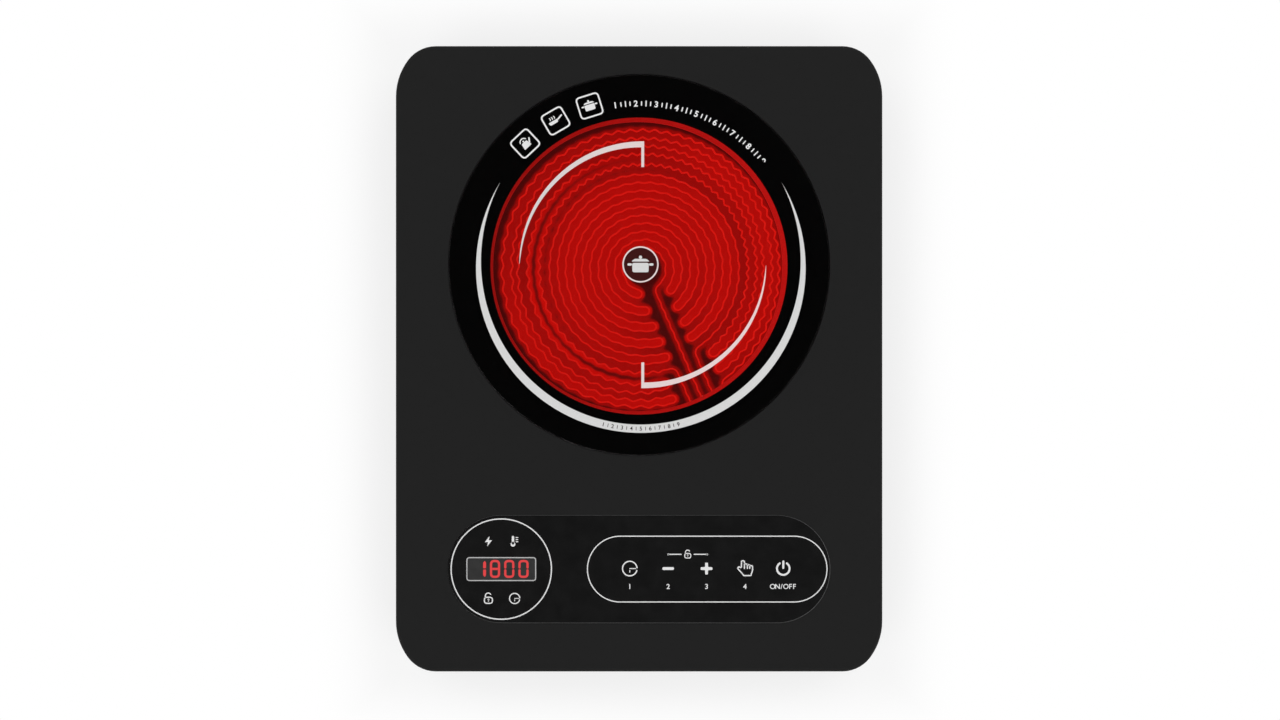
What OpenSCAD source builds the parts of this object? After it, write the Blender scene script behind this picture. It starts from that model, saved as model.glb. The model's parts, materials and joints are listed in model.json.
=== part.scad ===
// Portable infrared hot plate: one radiant burner under a round glass plate, with a touch panel in front.
// Millimetres. Origin at the centre of the footprint on the table, +Z up, +Y to the back, +X to the right.

/* [Body] */
// Width of the housing, side to side
body_w = 280; // [270:1:340]
// Length of the housing, front to back
body_l = 360; // [350:1:440]
// Height of the deck's top face above the table
deck_z = 60; // [58:1:75]
// Extent of a plan corner along the front and back edges
corner_x = 23; // [21:1:27]
// Extent of a plan corner along the sides
corner_y = 29; // [28:1:31]

/* [Housing] */
// Wall thickness of the top housing and the base pan
wall = 2.5; // [2:0.1:3]
// Thickness of the deck
deck_t = 2.5; // [2:0.1:3.5]
// Rounding of the deck's outer edge
edge_r = 1.5; // [0.5:0.1:2.5]
// How far the side walls lean in between the deck and the parting line
lean = 4; // [3.2:0.1:5]
// Height of the parting line above the table
part_z = 24; // [22:1:27]
// Open shadow gap at the parting line
reveal = 0.8; // [0.3:0.1:2]
// How far the base pan stands in from the housing
step_in = 1.2; // [0.5:0.1:2]
// Rounding of the base pan's lower edge
base_r = 8; // [5:0.5:9]
// Clearance between the base pan's lip and the housing wall
lip_gap = 0.3; // [0.2:0.1:0.6]

/* [Glass plate] */
// Diameter of the round glass plate
glass_d = 219; // [182:1:224]
// Thickness of the glass
glass_t = 4; // [3.5:0.1:5]
// How far the glass stands proud of the deck
glass_proud = 0.6; // [0:0.1:1]
// Gap round the glass
glass_gap = 0.4; // [0.2:0.1:0.8]
// Ground chamfer on the upper edge of the glass
glass_chamfer = 0.5; // [0.2:0.1:1]
// Distance from the back edge of the deck to the glass
rear_margin = 16.5; // [14:0.5:30]
// Thickness of the silicone seal below the glass
seal_t = 0.8; // [0.5:0.1:1.5]
// Width of the ledge that carries the seal
ledge_w = 11.5; // [6:0.5:14]
// Thickness of that ledge
ledge_t = 2.5; // [2:0.1:3]

/* [Control panel] */
// Width of the panel lens
panel_w = 220; // [212:1:240]
// Length of the panel lens, front to back
panel_l = 62; // [58:1:66]
// Thickness of the lens
lens_t = 2; // [1.5:0.1:2.5]
// Ground chamfer on the upper edge of the lens
lens_chamfer = 0.3; // [0.1:0.1:0.6]
// Gap round the lens
lens_gap = 0.2; // [0.1:0.05:0.4]
// Thickness of the adhesive below the lens
tape_t = 0.2; // [0.1:0.05:0.3]
// Thickness of the pocket floor below the lens
pocket_t = 2; // [1.5:0.1:2.5]
// Distance from the front edge of the deck to the lens
front_margin = 28; // [22:1:40]
// Position of the first touch key to the right of the panel's centre
key_first = -5.4; // [-8:0.2:0]
// Distance between touch keys
key_pitch = 22; // [16:0.5:23]
// Number of touch keys
key_count = 5; // [3:1:5]
// Diameter of a touch spring
key_d = 10; // [8:0.5:12]
// Distance of the display from the panel's centre
display_x = 79.6; // [76:0.2:84]
// Width of the display module
display_w = 38; // [34:0.5:40]
// Length of the display module, front to back
display_l = 13; // [11:0.5:16]
// Spacing of the indicator lamps across the display's centre line
lamp_dx = 15; // [12:0.5:20]
// Spacing of the indicator lamps, front to back
lamp_dy = 33; // [30:0.5:36]

/* [Heater] */
// Distance from the edge of the glass in to the heater dish
dish_inset = 20.5; // [17.5:0.5:24]
// Height of the heater dish
dish_h = 23; // [20:0.5:25]
// Sheet thickness of the dish
dish_t = 0.8; // [0.5:0.1:1.2]
// Width of the rim of insulation and sheet round the clear burner
rim_w = 5.5; // [4:0.5:7]
// How far the clear burner lies to the right of the dish's centre
burner_dx = -0.8; // [-1:0.1:1]
// How far it lies to the back of the dish's centre
burner_dy = -0.8; // [-1:0.1:1]
// Depth from the glass down to the insulation surface
burner_depth = 10; // [8:0.5:12]
// Direction of the lead channel, measured from +X
channel_a = -66.5; // [-80:0.5:-50]
// Radius of the posts that carry the heater bracket
post_r = 5; // [4:0.5:6]
// Width of the bracket strap
strap_w = 24; // [18:1:30]
// Thickness of the bracket strap
strap_t = 1.2; // [1:0.1:2]
// Height of the strap above the table
strap_z = 24; // [22:0.5:26]

/* [Heating ribbon] */
// Height of the ribbon
ribbon_h = 5; // [3:0.5:6]
// Depth to which the ribbon is pressed into the insulation
ribbon_bed = 1.5; // [1:0.1:2]
// Thickness of the ribbon
ribbon_t = 0.6; // [0.4:0.1:0.8]
// Radius of the innermost ring
inner_first = 12.4; // [11:0.1:13]
// Pitch of the rings of the inner zone
inner_pitch = 4.7; // [4.4:0.1:4.8]
// Distance from the rim in to the last ring of the outer zone
rim_gap = 3.6; // [2.8:0.1:5]
// Pitch of the rings of the outer zone
outer_pitch = 4.9; // [4.4:0.1:5]
// Least gap between the rings of the two zones
zone_gap = 5.5; // [5.2:0.1:8]
// Offset of the inner rings towards the lead channel
inner_shift = 2.3; // [0:0.1:2.5]
// Offset of the outer rings towards the lead channel
outer_shift = 2.1; // [0:0.1:2.2]
// Length of a wave of the inner rings' corrugation
inner_wave_l = 7.8; // [6:0.1:12]
// Waves in a full turn of the outer rings
outer_waves = 62; // [40:1:72]
// Height of the corrugation on the inner rings, each way
inner_wave = 0.3; // [0:0.1:0.5]
// Height of the corrugation on the outer rings, each way
outer_wave = 0.65; // [0:0.05:0.8]

/* [Cooling fan] */
// Side of the square fan frame
fan_side = 80; // [70:1:80]
// Thickness of the fan frame
fan_h = 20; // [18:1:22]
// Spacing of the fan's fixing holes
fan_holes = 71.5; // [62:0.5:71.5]
// Radius of the air passage
fan_bore_r = 38.2; // [32:0.2:38.2]
// Radial clearance of the blade tips
tip_gap = 1; // [0.8:0.1:2]
// Radius of the rotor hub
hub_r = 18; // [16:0.5:20]
// Number of blades
blade_count = 7; // [5:1:9]
// Radius of the rotor shaft
shaft_r = 1.5; // [1.2:0.1:2]
// Radial clearance of the shaft in its bearing
shaft_gap = 0.05; // [0.02:0.01:0.1]

/* [Circuit boards] */
// Thickness of both circuit boards
board_t = 1.6; // [1.2:0.2:2]
// Width of the power board
power_w = 132; // [132:1:136]
// Length of the power board, front to back
power_l = 104; // [100:1:108]
// Height of the standoffs below the power board
standoff_h = 6; // [4:0.5:8]
// Width of the control board
control_w = 204; // [200:1:206]
// Length of the control board, front to back
control_l = 44; // [42:1:50]
// Distance from the lens down to the control board
control_drop = 8; // [7:0.5:9]

/* [Fasteners and feet] */
// Shaft radius of the screws
screw_r = 1.5; // [1.2:0.1:1.8]
// Head radius of the screws
head_r = 3.1; // [2.8:0.1:3.4]
// Head height of the screws
head_h = 2; // [1.6:0.1:2.4]
// Height of the feet below the base pan
foot_h = 7; // [5:0.5:9]
// Radius of a foot at its foot print
foot_r = 9.6; // [8:0.2:12]
// Distance of the feet from the body's edges
foot_inset = 30; // [26:1:40]

/* [Cord entry] */
// Radius of the cord entry's bore
cord_bore_r = 3.75; // [3:0.05:4.5]
// Distance of the cord entry from the body's centre line
cord_x = 100; // [96:1:103]
// Height of the cord entry above the table
cord_z = 38; // [37:1:42]

/* [Hidden] */
foot_places = ["front_left", "front_right", "rear_left", "rear_right"];
$fn = 48;
overlap = 0.5; // how far joined solids of one piece run into each other
hole_r = screw_r + 0.3; // clearance hole
pilot_r = screw_r + 0.1; // moulded pilot hole

// Plan corners: an arc of end_r beside the front or back edge runs into an arc of side_r beside the side.
// Both centres lie on a line that rises 3 in 4, on which the arcs meet tangent to each other.
end_r = corner_x - (corner_y - corner_x)/2;
side_r = corner_x + 2 * (corner_y - corner_x);
end_c = [body_w/2 - corner_x, body_l/2 - end_r];
side_c = [body_w/2 - side_r, body_l/2 - corner_y];
side_wedge = [[0, 0], [80, 0], [80, 60]];
end_wedge = [[0, 0], [80, 60], [80, 100], [0, 100]];

// Levels and centres
glass_top = deck_z + glass_proud;
glass_under = glass_top - glass_t;
ledge_z = glass_under - seal_t;
pocket_r = glass_d/2 + glass_gap;
opening_r = pocket_r - ledge_w;
dish_r = glass_d/2 - dish_inset;
burner_r = dish_r - rim_w;
plate_y = body_l/2 - rear_margin - glass_d/2;
panel_y = front_margin + panel_l/2 - body_l/2;
lens_under = deck_z - lens_t;
pocket_z = lens_under - tape_t;
control_z = lens_under - control_drop - board_t;
floor_z = foot_h + wall;
base_in = lean + step_in; // how far the base pan's wall stands in from the deck's outline
lip_in = lean + wall + lip_gap;
lip_t = 1.6;
lip_h = 3.5;
joint_z = part_z + lip_h + 0.5; // where housing bosses meet base columns
boss_r = 4;
column_r = 4.6;
counterbore_r = head_r + 0.4;
seat_z = floor_z + 10; // where the housing screws' heads seat
power_z = floor_z + standoff_h;
power_c = [38, panel_y + 11];
fan_c = [62 - body_w/2, panel_y + 26];
fan_pad_h = 3;
fan_z = floor_z + fan_pad_h;
corner_in = 17; // corner screws, in from the sides and ends
side_in = lip_in + lip_t + column_r + 1; // middle screws, in from the sides
screw_posts = [for (sx = [-1, 1]) for (p = [[corner_in, body_l/2 - corner_in], [side_in, -10],
    [corner_in, corner_in - body_l/2]]) [sx * (body_w/2 - p[0]), p[1]]];
foot_posts = [for (sy = [-1, 1]) for (sx = [-1, 1])
    [sx * (body_w/2 - foot_inset), sy * (body_l/2 - foot_inset)]];
board_edge = 5; // power board's screws, in from its edges
power_posts = [for (sx = [-1, 1]) for (sy = [-1, 1])
    power_c + [sx * (power_w/2 - board_edge), sy * (power_l/2 - board_edge)]];
control_screw_xs = [-96, -30, 96];
control_posts = [for (x = control_screw_xs) for (sy = [-1, 1]) [x, panel_y + sy * (control_l/2 - 6)]];
fan_posts = [for (sx = [-1, 1]) for (sy = [-1, 1]) fan_c + [sx, sy] * fan_holes/2];
strap_posts = [for (sx = [-1, 1]) [sx * (dish_r + post_r + 4), plate_y]];
key_xs = [for (k = [0:key_count - 1]) key_first + k * key_pitch];
lamp_spots = [for (sx = [-1, 1]) for (sy = [-1, 1]) [sx * lamp_dx/2 - display_x, panel_y + sy * lamp_dy/2]];

// Heater levels, and the four lead positions across the channel
dish_z = glass_under - 0.5 - dish_h;
bed_z = glass_under - burner_depth;
ring_out_r = dish_r - dish_t - 0.2;
lead_first = -4.3;
lead_pitch = 6.9;
lead_v = [for (k = [0:3]) lead_first + k * lead_pitch];
tab_t = 0.8;
tab_z = bed_z + 0.1;
tab_h = ribbon_h - ribbon_bed - 0.4;
block_u = dish_r + 0.3;
block_depth = 11;
block_z = tab_z - 5;
block_h = 11;
block_v = lead_first + 1.5 * lead_pitch;
block_screws = [for (s = [-1, 1]) [dish_r + 6, block_v + s * 5.5]];
slot_gap = 0.05; // round a tab in the block
tab_v = ribbon_t/2; // a tab is welded to the side of its ribbon
tab_reach = 7; // how far a tab stands out of the block

// Rings are counted from 1 in the middle. Each zone's first and last ring run in opposite directions,
// so that its two ends come out on either side of the channel: the inner zone has an even number of rings,
// the outer zone an odd number.
outer_rings = 5;
outer_first = burner_r - rim_gap - (outer_rings - 1) * outer_pitch;
inner_rings = 2 * floor(((outer_first - zone_gap - inner_first)/inner_pitch + 1)/2);
all_rings = inner_rings + outer_rings;
inner_end_v = [-7.3, 11.2]; // where hairpins end across the channel, to its right and to its left
outer_end_v = [-13.4, 19];
bend_r = 4; // bend of a lead into its ring
tab_u = outer_shift + bend_c(ring_r(all_rings), lead_v[3])[0] + 0.1; // tabs start past the last bend
lead_end_r = tab_u + 3;
wave_points = 4; // points that draw each wave

// Spade posts of the heater leads
spade_y = power_c[1] + power_l/2 - 12;
spade_first = 20;
spade_pitch = 10;
spade_w = 0.8;
spade_l = 6;
spade_h = 9;
lead_clear = 0.4; // from a lead's end to its tab or post

// Pieces on the power board: width, length and height, and the place from the board's centre
relay_size = [19, 15.5, 15.5];
relay_inner_at = [34, 38];
relay_outer_at = [34, 20];
core_size = [28, 18, 20];
bobbin_size = [18, 24, 19];
transformer_at = [-22, -30];
film_size = [26, 10, 19];
film_at = [18, -40];
can_r = 5;
can_h = 18;
can_at = [[-50, -44], [-50, -31]];
sink_size = [44, 3, 24];
sink_at = [-16, 6];
fin_pitch = 6;
fin_t = 2;
fin_l = 12;
fuse_r = 2.4;
fuse_l = 14;
fuse_at = [46, -22];
mains_size = [12, 30, 14];
mains_at = [56, 8];
mains_pitch = 10;

// Flat cable between a socket under the control board and a header on the power board
socket_size = [6, 18, 5];
socket_x = -46;
header_size = [6, 18, 9];
header_x = -27;
cable_w = 14;
cable_t = 1;

// Cord gland
gland_flange_r = 8.5;
gland_flange_t = 2;
gland_barrel_r = 6;
gland_barrel_l = 12;
gland_seat_y = body_l/2 - wall;

charcoal = [0.137, 0.137, 0.137];
soft_black = [0.08, 0.08, 0.08];

// ---- plan outline of the housing ----

// Slice of a disc inside a wedge
module slice(r, wedge) {
    intersection() {
        circle(r);
        polygon(wedge);
    }
}

// The deck's outline, moved in by inset
module outline(inset = 0) {
    x = body_w/2 - inset;
    y = body_l/2 - inset;
    for (mx = [0, 1]) mirror([mx, 0]) for (my = [0, 1]) mirror([0, my]) {
        polygon([[0, 0], [x, 0], [x, side_c[1]], side_c, end_c, [end_c[0], y], [0, y]]);
        translate(side_c) slice(side_r - inset, side_wedge);
        translate(end_c) slice(end_r - inset, end_wedge);
    }
}

// Profile carried round one arc of a corner
module corner_arc(c, r, wedge) {
    translate(c) intersection() {
        rotate_extrude() translate([r, 0]) children();
        linear_extrude(2 * deck_z) polygon(wedge);
    }
}

// Carries a profile round the outline: profile x is measured outwards from the outline, profile y is height
module around_outline() {
    for (mx = [0, 1]) mirror([mx, 0, 0]) {
        translate([body_w/2, side_c[1], 0]) rotate([90, 0, 0]) linear_extrude(2 * side_c[1]) children();
        for (my = [0, 1]) mirror([0, my, 0]) {
            corner_arc(side_c, side_r, side_wedge) children();
            corner_arc(end_c, end_r, end_wedge) children();
        }
    }
    for (my = [0, 1]) mirror([0, my, 0]) translate([-end_c[0], body_l/2, 0]) rotate([90, 0, 90])
        linear_extrude(2 * end_c[0]) children();
}

// ---- shared small shapes ----

// Slot or plate with fully round ends, w long and l wide, centred
module stadium(w, l) {
    square([w - l, l], center = true);
    for (s = [-1, 1]) translate([s * (w - l)/2, 0]) circle(l/2);
}

// Rectangle with rounded corners, centred
module rounded(w, l, r) {
    square([w - 2*r, l], center = true);
    square([w, l - 2*r], center = true);
    for (sx = [-1, 1]) for (sy = [-1, 1]) translate([sx * (w/2 - r), sy * (l/2 - r)]) circle(r);
}

// Puts its children at each point of a list
module at(points) {
    for (p = points) translate(p) children();
}

// Cylinder with its axis along +Y
module lying(r, h) {
    rotate([-90, 0, 0]) cylinder(r = r, h = h);
}

// Screw with its head's underside at z = 0 and its shaft upwards
module screw(length) {
    translate([0, 0, -overlap]) cylinder(r = screw_r, h = length + overlap);
    translate([0, 0, -head_h]) difference() {
        cylinder(r = head_r, h = head_h);
        for (a = [0, 90]) rotate(a) translate([-head_r * 0.6, -0.4, -1]) cube([head_r * 1.2, 0.8, 2]);
    }
}

// Unit vector
function unit(v) = v / norm(v);

// Point on a cubic curve with control points p
function curve_point(p, t) = (1-t)^3 * p[0] + 3*(1-t)^2*t * p[1] + 3*(1-t)*t^2 * p[2] + t^3 * p[3];
function curve(p, n) = [for (i = [0:n]) curve_point(p, i/n)];

// Both sides of a strip of thickness t along a flat line of points
function line_side(p, d) = [for (i = [0:len(p) - 1])
    let (along = unit(p[min(i + 1, len(p) - 1)] - p[max(i - 1, 0)])) p[i] + d * [-along[1], along[0]]];
function reversed(p) = [for (i = [len(p) - 1:-1:0]) p[i]];
function strip(p, t) = concat(line_side(p, t/2), reversed(line_side(p, -t/2)));

// Round wire of radius r through a list of points in space
module wire(p, r, sides = 8) {
    n = len(p);
    lean_way = unit([0.9, 0.4, 0.15]);
    rings = [for (i = [0:n - 1])
        let (along = unit(p[min(i + 1, n - 1)] - p[max(i - 1, 0)]),
             a = unit(cross(along, lean_way)), b = cross(along, a))
        for (k = [0:sides - 1]) p[i] + r * (cos(360*k/sides) * a + sin(360*k/sides) * b)];
    faces = concat(
        [[for (k = [0:sides - 1]) k]],
        [for (i = [0:n - 2]) for (k = [0:sides - 1]) for (half = [0, 1])
            let (m = (k + 1) % sides, a = i*sides, b = (i + 1)*sides)
            half == 0 ? [a + k, b + k, b + m] : [a + k, b + m, a + m]],
        [[for (k = [sides - 1:-1:0]) (n - 1)*sides + k]]);
    polyhedron(rings, faces, convexity = 6);
}

// ---- housing ----

module housing_profile() {
    top = deck_z - edge_r;
    polygon([[-lean, part_z], [0, top], [-edge_r, deck_z], [-edge_r - wall, deck_z],
             [-edge_r - wall, deck_z - deck_t], [-wall, deck_z - deck_t - 1], [-lean - wall, part_z]]);
    intersection() {
        translate([-edge_r, top]) circle(edge_r);
        translate([-edge_r, top]) square(edge_r);
    }
}

module rear_slots() {
    for (x = [-96:6:72]) translate([x, body_l/2 + 1, 41]) rotate([90, 90, 0])
        linear_extrude(wall + lean + 3) stadium(16, 2.6);
}

module side_slots() {
    for (s = [-1, 1]) for (y = [18:7:102]) translate([s * (body_w/2 + 1), y, 41]) rotate([0, -90 * s, 0])
        linear_extrude(wall + lean + 3) stadium(14, 2.6);
}

module top_housing() color(charcoal) difference() {
    union() {
        around_outline() housing_profile();
        translate([0, 0, deck_z - deck_t]) linear_extrude(deck_t) outline(edge_r + 1);
        translate([0, plate_y, ledge_z - ledge_t])
            cylinder(r = pocket_r + wall, h = deck_z - deck_t + overlap - ledge_z + ledge_t);
        translate([0, panel_y, pocket_z - pocket_t])
            linear_extrude(deck_z - deck_t + overlap - pocket_z + pocket_t)
            stadium(panel_w + 2*wall, panel_l + 2*wall);
        at(screw_posts) translate([0, 0, joint_z])
            cylinder(r = boss_r, h = deck_z - deck_t + overlap - joint_z);
        at(control_posts) translate([0, 0, control_z + board_t])
            cylinder(r = 3.4, h = pocket_z - pocket_t + overlap - control_z - board_t);
        translate([cord_x, gland_seat_y - 5, cord_z]) lying(gland_flange_r + 2, 5);
    }
    translate([0, plate_y, ledge_z]) cylinder(r = pocket_r, h = glass_t + seal_t + 1);
    translate([0, plate_y, ledge_z - ledge_t - 1]) cylinder(r = opening_r, h = ledge_t + 2);
    translate([0, panel_y, pocket_z]) linear_extrude(lens_t + 1)
        stadium(panel_w + 2*lens_gap, panel_l + 2*lens_gap);
    translate([0, 0, pocket_z - pocket_t - 1]) linear_extrude(pocket_t + 2) panel_windows(1);
    at(screw_posts) translate([0, 0, joint_z - 1]) cylinder(r = pilot_r, h = 15);
    at(control_posts) translate([0, 0, control_z + board_t - 1]) cylinder(r = pilot_r, h = 6);
    translate([cord_x, gland_seat_y - 6, cord_z]) lying(gland_barrel_r + 0.1, 20);
    translate([cord_x, gland_seat_y, cord_z]) lying(gland_flange_r + 0.5, 10);
    rear_slots();
    side_slots();
}

// Openings below the lens for the display, the lamps and the touch springs, each grown by clearance
module panel_windows(clearance) {
    translate([-display_x, panel_y]) rounded(display_w + 2*clearance, display_l + 2*clearance, 1);
    at(lamp_spots) circle(2.5 + clearance/2);
    for (x = key_xs) translate([x, panel_y]) circle(key_d/2 + clearance);
}

module base_profile() {
    c = [-base_in - base_r, foot_h + base_r];
    translate([-base_in - wall, c[1]]) square([wall, part_z - reveal - c[1]]);
    intersection() {
        translate(c) difference() {
            circle(base_r);
            circle(base_r - wall);
        }
        translate(c - [0, base_r]) square(base_r);
    }
    translate([c[0] - 1.5, foot_h]) square([1.5, wall]);
    translate([-lip_in - lip_t, part_z - 4]) square([lip_t, 4 + lip_h]);
}

// Rings of curved slots under the fan, crossed by six spokes
module intake_grille() {
    difference() {
        for (k = [0:4]) difference() {
            circle(11 + k * 6.4);
            circle(7.4 + k * 6.4);
        }
        for (a = [0:60:300]) rotate(a) translate([0, -1.5]) square([40, 3]);
    }
}

module base_pan() color(soft_black) difference() {
    union() {
        around_outline() base_profile();
        translate([0, 0, foot_h]) linear_extrude(wall) outline(base_in + base_r);
        at(screw_posts) translate([0, 0, floor_z - overlap])
            cylinder(r = column_r, h = joint_z - floor_z + overlap);
        at(foot_posts) translate([0, 0, floor_z - overlap]) cylinder(r = column_r, h = 9);
        at(power_posts) translate([0, 0, floor_z - overlap]) cylinder(r = 3.5, h = standoff_h + overlap);
        at(fan_posts) translate([0, 0, floor_z - overlap]) cylinder(r = 4, h = fan_pad_h + overlap);
        at(strap_posts) translate([0, 0, floor_z - overlap])
            cylinder(r = post_r, h = strap_z - floor_z + overlap);
        // stiffening ribs across the floor, under the heater
        for (y = [-40, 0, 40]) translate([-80, plate_y + y - 0.8, floor_z - overlap]) cube([160, 1.6, 4]);
        for (x = [-60, 0, 60]) translate([x - 0.8, plate_y - 62, floor_z - overlap]) cube([1.6, 124, 4]);
    }
    at(screw_posts) translate([0, 0, foot_h - 1]) cylinder(r = counterbore_r, h = seat_z - foot_h + 1);
    at(screw_posts) translate([0, 0, foot_h - 1]) cylinder(r = hole_r, h = joint_z - foot_h + 2);
    at(foot_posts) translate([0, 0, foot_h - 1]) cylinder(r = pilot_r, h = 9);
    at(power_posts) translate([0, 0, floor_z - 1]) cylinder(r = pilot_r, h = standoff_h + 2);
    at(fan_posts) translate([0, 0, floor_z - 1]) cylinder(r = pilot_r, h = fan_pad_h + 2);
    at(strap_posts) translate([0, 0, strap_z - 9]) cylinder(r = pilot_r, h = 10);
    translate([fan_c[0], fan_c[1], foot_h - 1]) linear_extrude(wall + 2) intake_grille();
    // vent slots under the heater, between the ribs
    for (x = [-50:10:50]) if (x % 60 != 0) for (s = [-1, 1])
        translate([x, plate_y + s * 20, foot_h - 1]) linear_extrude(wall + 2) rotate(90) stadium(30, 3);
}

module foot(k) translate(foot_posts[k]) color([0.05, 0.05, 0.05]) rotate_extrude()
    polygon([[hole_r, 3.2], [head_r + 0.9, 3.2], [head_r + 0.9, 0], [foot_r - 0.8, 0], [foot_r, 0.8],
             [foot_r + 1.2, foot_h], [hole_r, foot_h]]);

module foot_screws() color("silver") at(foot_posts) translate([0, 0, 3.2]) screw(foot_h + 7 - 3.2);

module housing_screws() color("silver")
    at(screw_posts) translate([0, 0, seat_z]) screw(joint_z + 12 - seat_z);

// ---- glass plate ----

module glass_plate() color([0.05, 0.05, 0.06, 0.6]) translate([0, plate_y, 0]) rotate_extrude()
    polygon([[0, glass_under], [glass_d/2 - 0.3, glass_under], [glass_d/2, glass_under + 0.3],
             [glass_d/2, glass_top - glass_chamfer], [glass_d/2 - glass_chamfer, glass_top], [0, glass_top]]);

module glass_seal() color([0.3, 0.3, 0.3]) translate([0, plate_y, ledge_z]) difference() {
    cylinder(r = glass_d/2 - 1, h = seal_t);
    translate([0, 0, -1]) cylinder(r = opening_r + 1, h = seal_t + 2);
}

// ---- control panel ----

// Half the lens's cross-section: x is measured outwards from its middle line
module lens_profile() {
    h = lens_t - 0.1; // the face lies just below the deck
    polygon([[0, 0], [panel_l/2, 0], [panel_l/2, h - lens_chamfer], [panel_l/2 - lens_chamfer, h], [0, h]]);
}

// The chamfered profile runs straight along both sides and turns half round at each end
module panel_lens() color([0.09, 0.09, 0.09]) translate([0, panel_y, lens_under]) {
    straight = panel_w - panel_l;
    rotate([90, 0, 90]) linear_extrude(straight, center = true) {
        lens_profile();
        mirror([1, 0]) lens_profile();
    }
    for (m = [0, 1]) mirror([m, 0, 0]) translate([straight/2, 0, 0]) intersection() {
        rotate_extrude() lens_profile();
        translate([0, -panel_l, -1]) cube([panel_l, 2 * panel_l, lens_t + 2]);
    }
}

module panel_tape() color([0.2, 0.2, 0.2]) difference() {
    translate([0, panel_y, pocket_z]) linear_extrude(tape_t) stadium(panel_w - 1, panel_l - 1);
    translate([0, 0, pocket_z - 1]) linear_extrude(tape_t + 2) panel_windows(1);
}

module control_board() color([0.05, 0.3, 0.15]) {
    difference() {
        translate([0, panel_y, control_z]) linear_extrude(board_t) rounded(control_w, control_l, 3);
        at(control_posts) translate([0, 0, control_z - 1]) cylinder(r = hole_r, h = board_t + 2);
    }
    // socket for the flat cable, on the underside
    translate([socket_x, panel_y - socket_size[1]/2, control_z - socket_size[2]]) cube(socket_size);
}

module display_module() color([0.15, 0.15, 0.15])
    translate([-display_x, panel_y, control_z + board_t]) linear_extrude(control_drop - 0.4)
        rounded(display_w, display_l, 0.5);

module indicator_lamps() color("white") at(lamp_spots) translate([0, 0, control_z + board_t]) {
    cylinder(r = 1.9, h = 1);
    cylinder(r = 1.5, h = control_drop - 2);
    translate([0, 0, control_drop - 2]) cylinder(r1 = 1.5, r2 = 0.8, h = 1);
}

module buzzer() color([0.1, 0.1, 0.1]) translate([-52, panel_y + 10, control_z - 8]) difference() {
    cylinder(r = 6, h = 8);
    translate([0, 0, -1]) cylinder(r = 1, h = 3);
}

// Coil spring between the control board and the lens: a flat seat with three turns above it
module touch_spring(k) color("gold") translate([key_xs[k], panel_y, control_z + board_t]) {
    turns = 3;
    steps = 10; // points in a turn
    seat = 0.8;
    coil_r = key_d/2 - 0.8;
    rise = control_drop - seat - 1;
    cylinder(r = key_d/2, h = seat);
    wire([for (i = [0:turns * steps]) let (a = 360 * i/steps)
        [coil_r * cos(a), coil_r * sin(a), seat + 0.3 + rise * i/(turns * steps)]], 0.5, 6);
}

module control_board_screws() color("silver") at(control_posts) translate([0, 0, control_z]) screw(5);

// Flat cable from the control board down to the power board, looped once
module flat_cable() color([0.75, 0.75, 0.75]) {
    top = [socket_x + socket_size[0]/2, control_z - socket_size[2] - 0.1];
    low = [header_x + header_size[0]/2, power_z + board_t + header_size[2] + 0.1];
    translate([0, panel_y + cable_w/2, 0]) rotate([90, 0, 0]) linear_extrude(cable_w)
        polygon(strip(curve([top, top - [0, 14], low + [0, 16], low], 14), cable_t));
}

// ---- power board ----

// Puts its children on the power board, at p from its centre
module on_power_board(p) {
    translate([power_c[0] + p[0], power_c[1] + p[1], power_z + board_t]) children();
}

// Block that stands on a board, with rounded upright edges
module block(size, r) {
    linear_extrude(size[2]) rounded(size[0], size[1], r);
}

module power_board() color([0.05, 0.3, 0.15]) {
    difference() {
        translate([power_c[0], power_c[1], power_z]) linear_extrude(board_t) rounded(power_w, power_l, 2);
        at(power_posts) translate([0, 0, power_z - 1]) cylinder(r = hole_r, h = board_t + 2);
    }
    translate([header_x, panel_y - header_size[1]/2, power_z + board_t]) cube(header_size);
    for (k = [0:3]) translate([spade_x(k), spade_y, power_z + board_t]) cube([spade_w, spade_l, spade_h]);
}
function spade_x(k) = spade_first + spade_pitch * k;

module relay(p) color([0.1, 0.2, 0.45]) on_power_board(p) block(relay_size, 0.8);

// Laminated core with a window on each side of the bobbin, which stands on two feet
module transformer() on_power_board(transformer_at) {
    color([0.35, 0.3, 0.28]) difference() {
        translate([-core_size[0]/2, -core_size[1]/2, 4]) cube(core_size);
        translate([-bobbin_size[0]/2, -core_size[1]/2 - 1, 9]) cube([bobbin_size[0], core_size[1] + 2, 10]);
    }
    color([0.8, 0.7, 0.2]) difference() {
        translate([-bobbin_size[0]/2, -bobbin_size[1]/2, 0]) cube(bobbin_size);
        for (s = [-1, 1]) translate([s * 12 - 4, -bobbin_size[1]/2 - 1, -1]) cube([8, bobbin_size[1] + 2, 5]);
    }
}

module film_capacitor() color([0.75, 0.7, 0.15]) on_power_board(film_at) block(film_size, 0.8);

module smoothing_capacitors() color([0.15, 0.15, 0.3]) for (p = can_at) on_power_board(p) {
    cylinder(r = can_r, h = can_h);
    cylinder(r = can_r - 0.8, h = can_h + 0.6);
}

// Extruded fins on a common back
module triac_heatsink() color("silver") on_power_board(sink_at) {
    translate([-sink_size[0]/2, 0, 0]) cube(sink_size);
    for (x = [0:fin_pitch:sink_size[0] - fin_t]) translate([x - sink_size[0]/2, sink_size[1] - overlap, 0])
        cube([fin_t, fin_l, sink_size[2]]);
}

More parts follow.
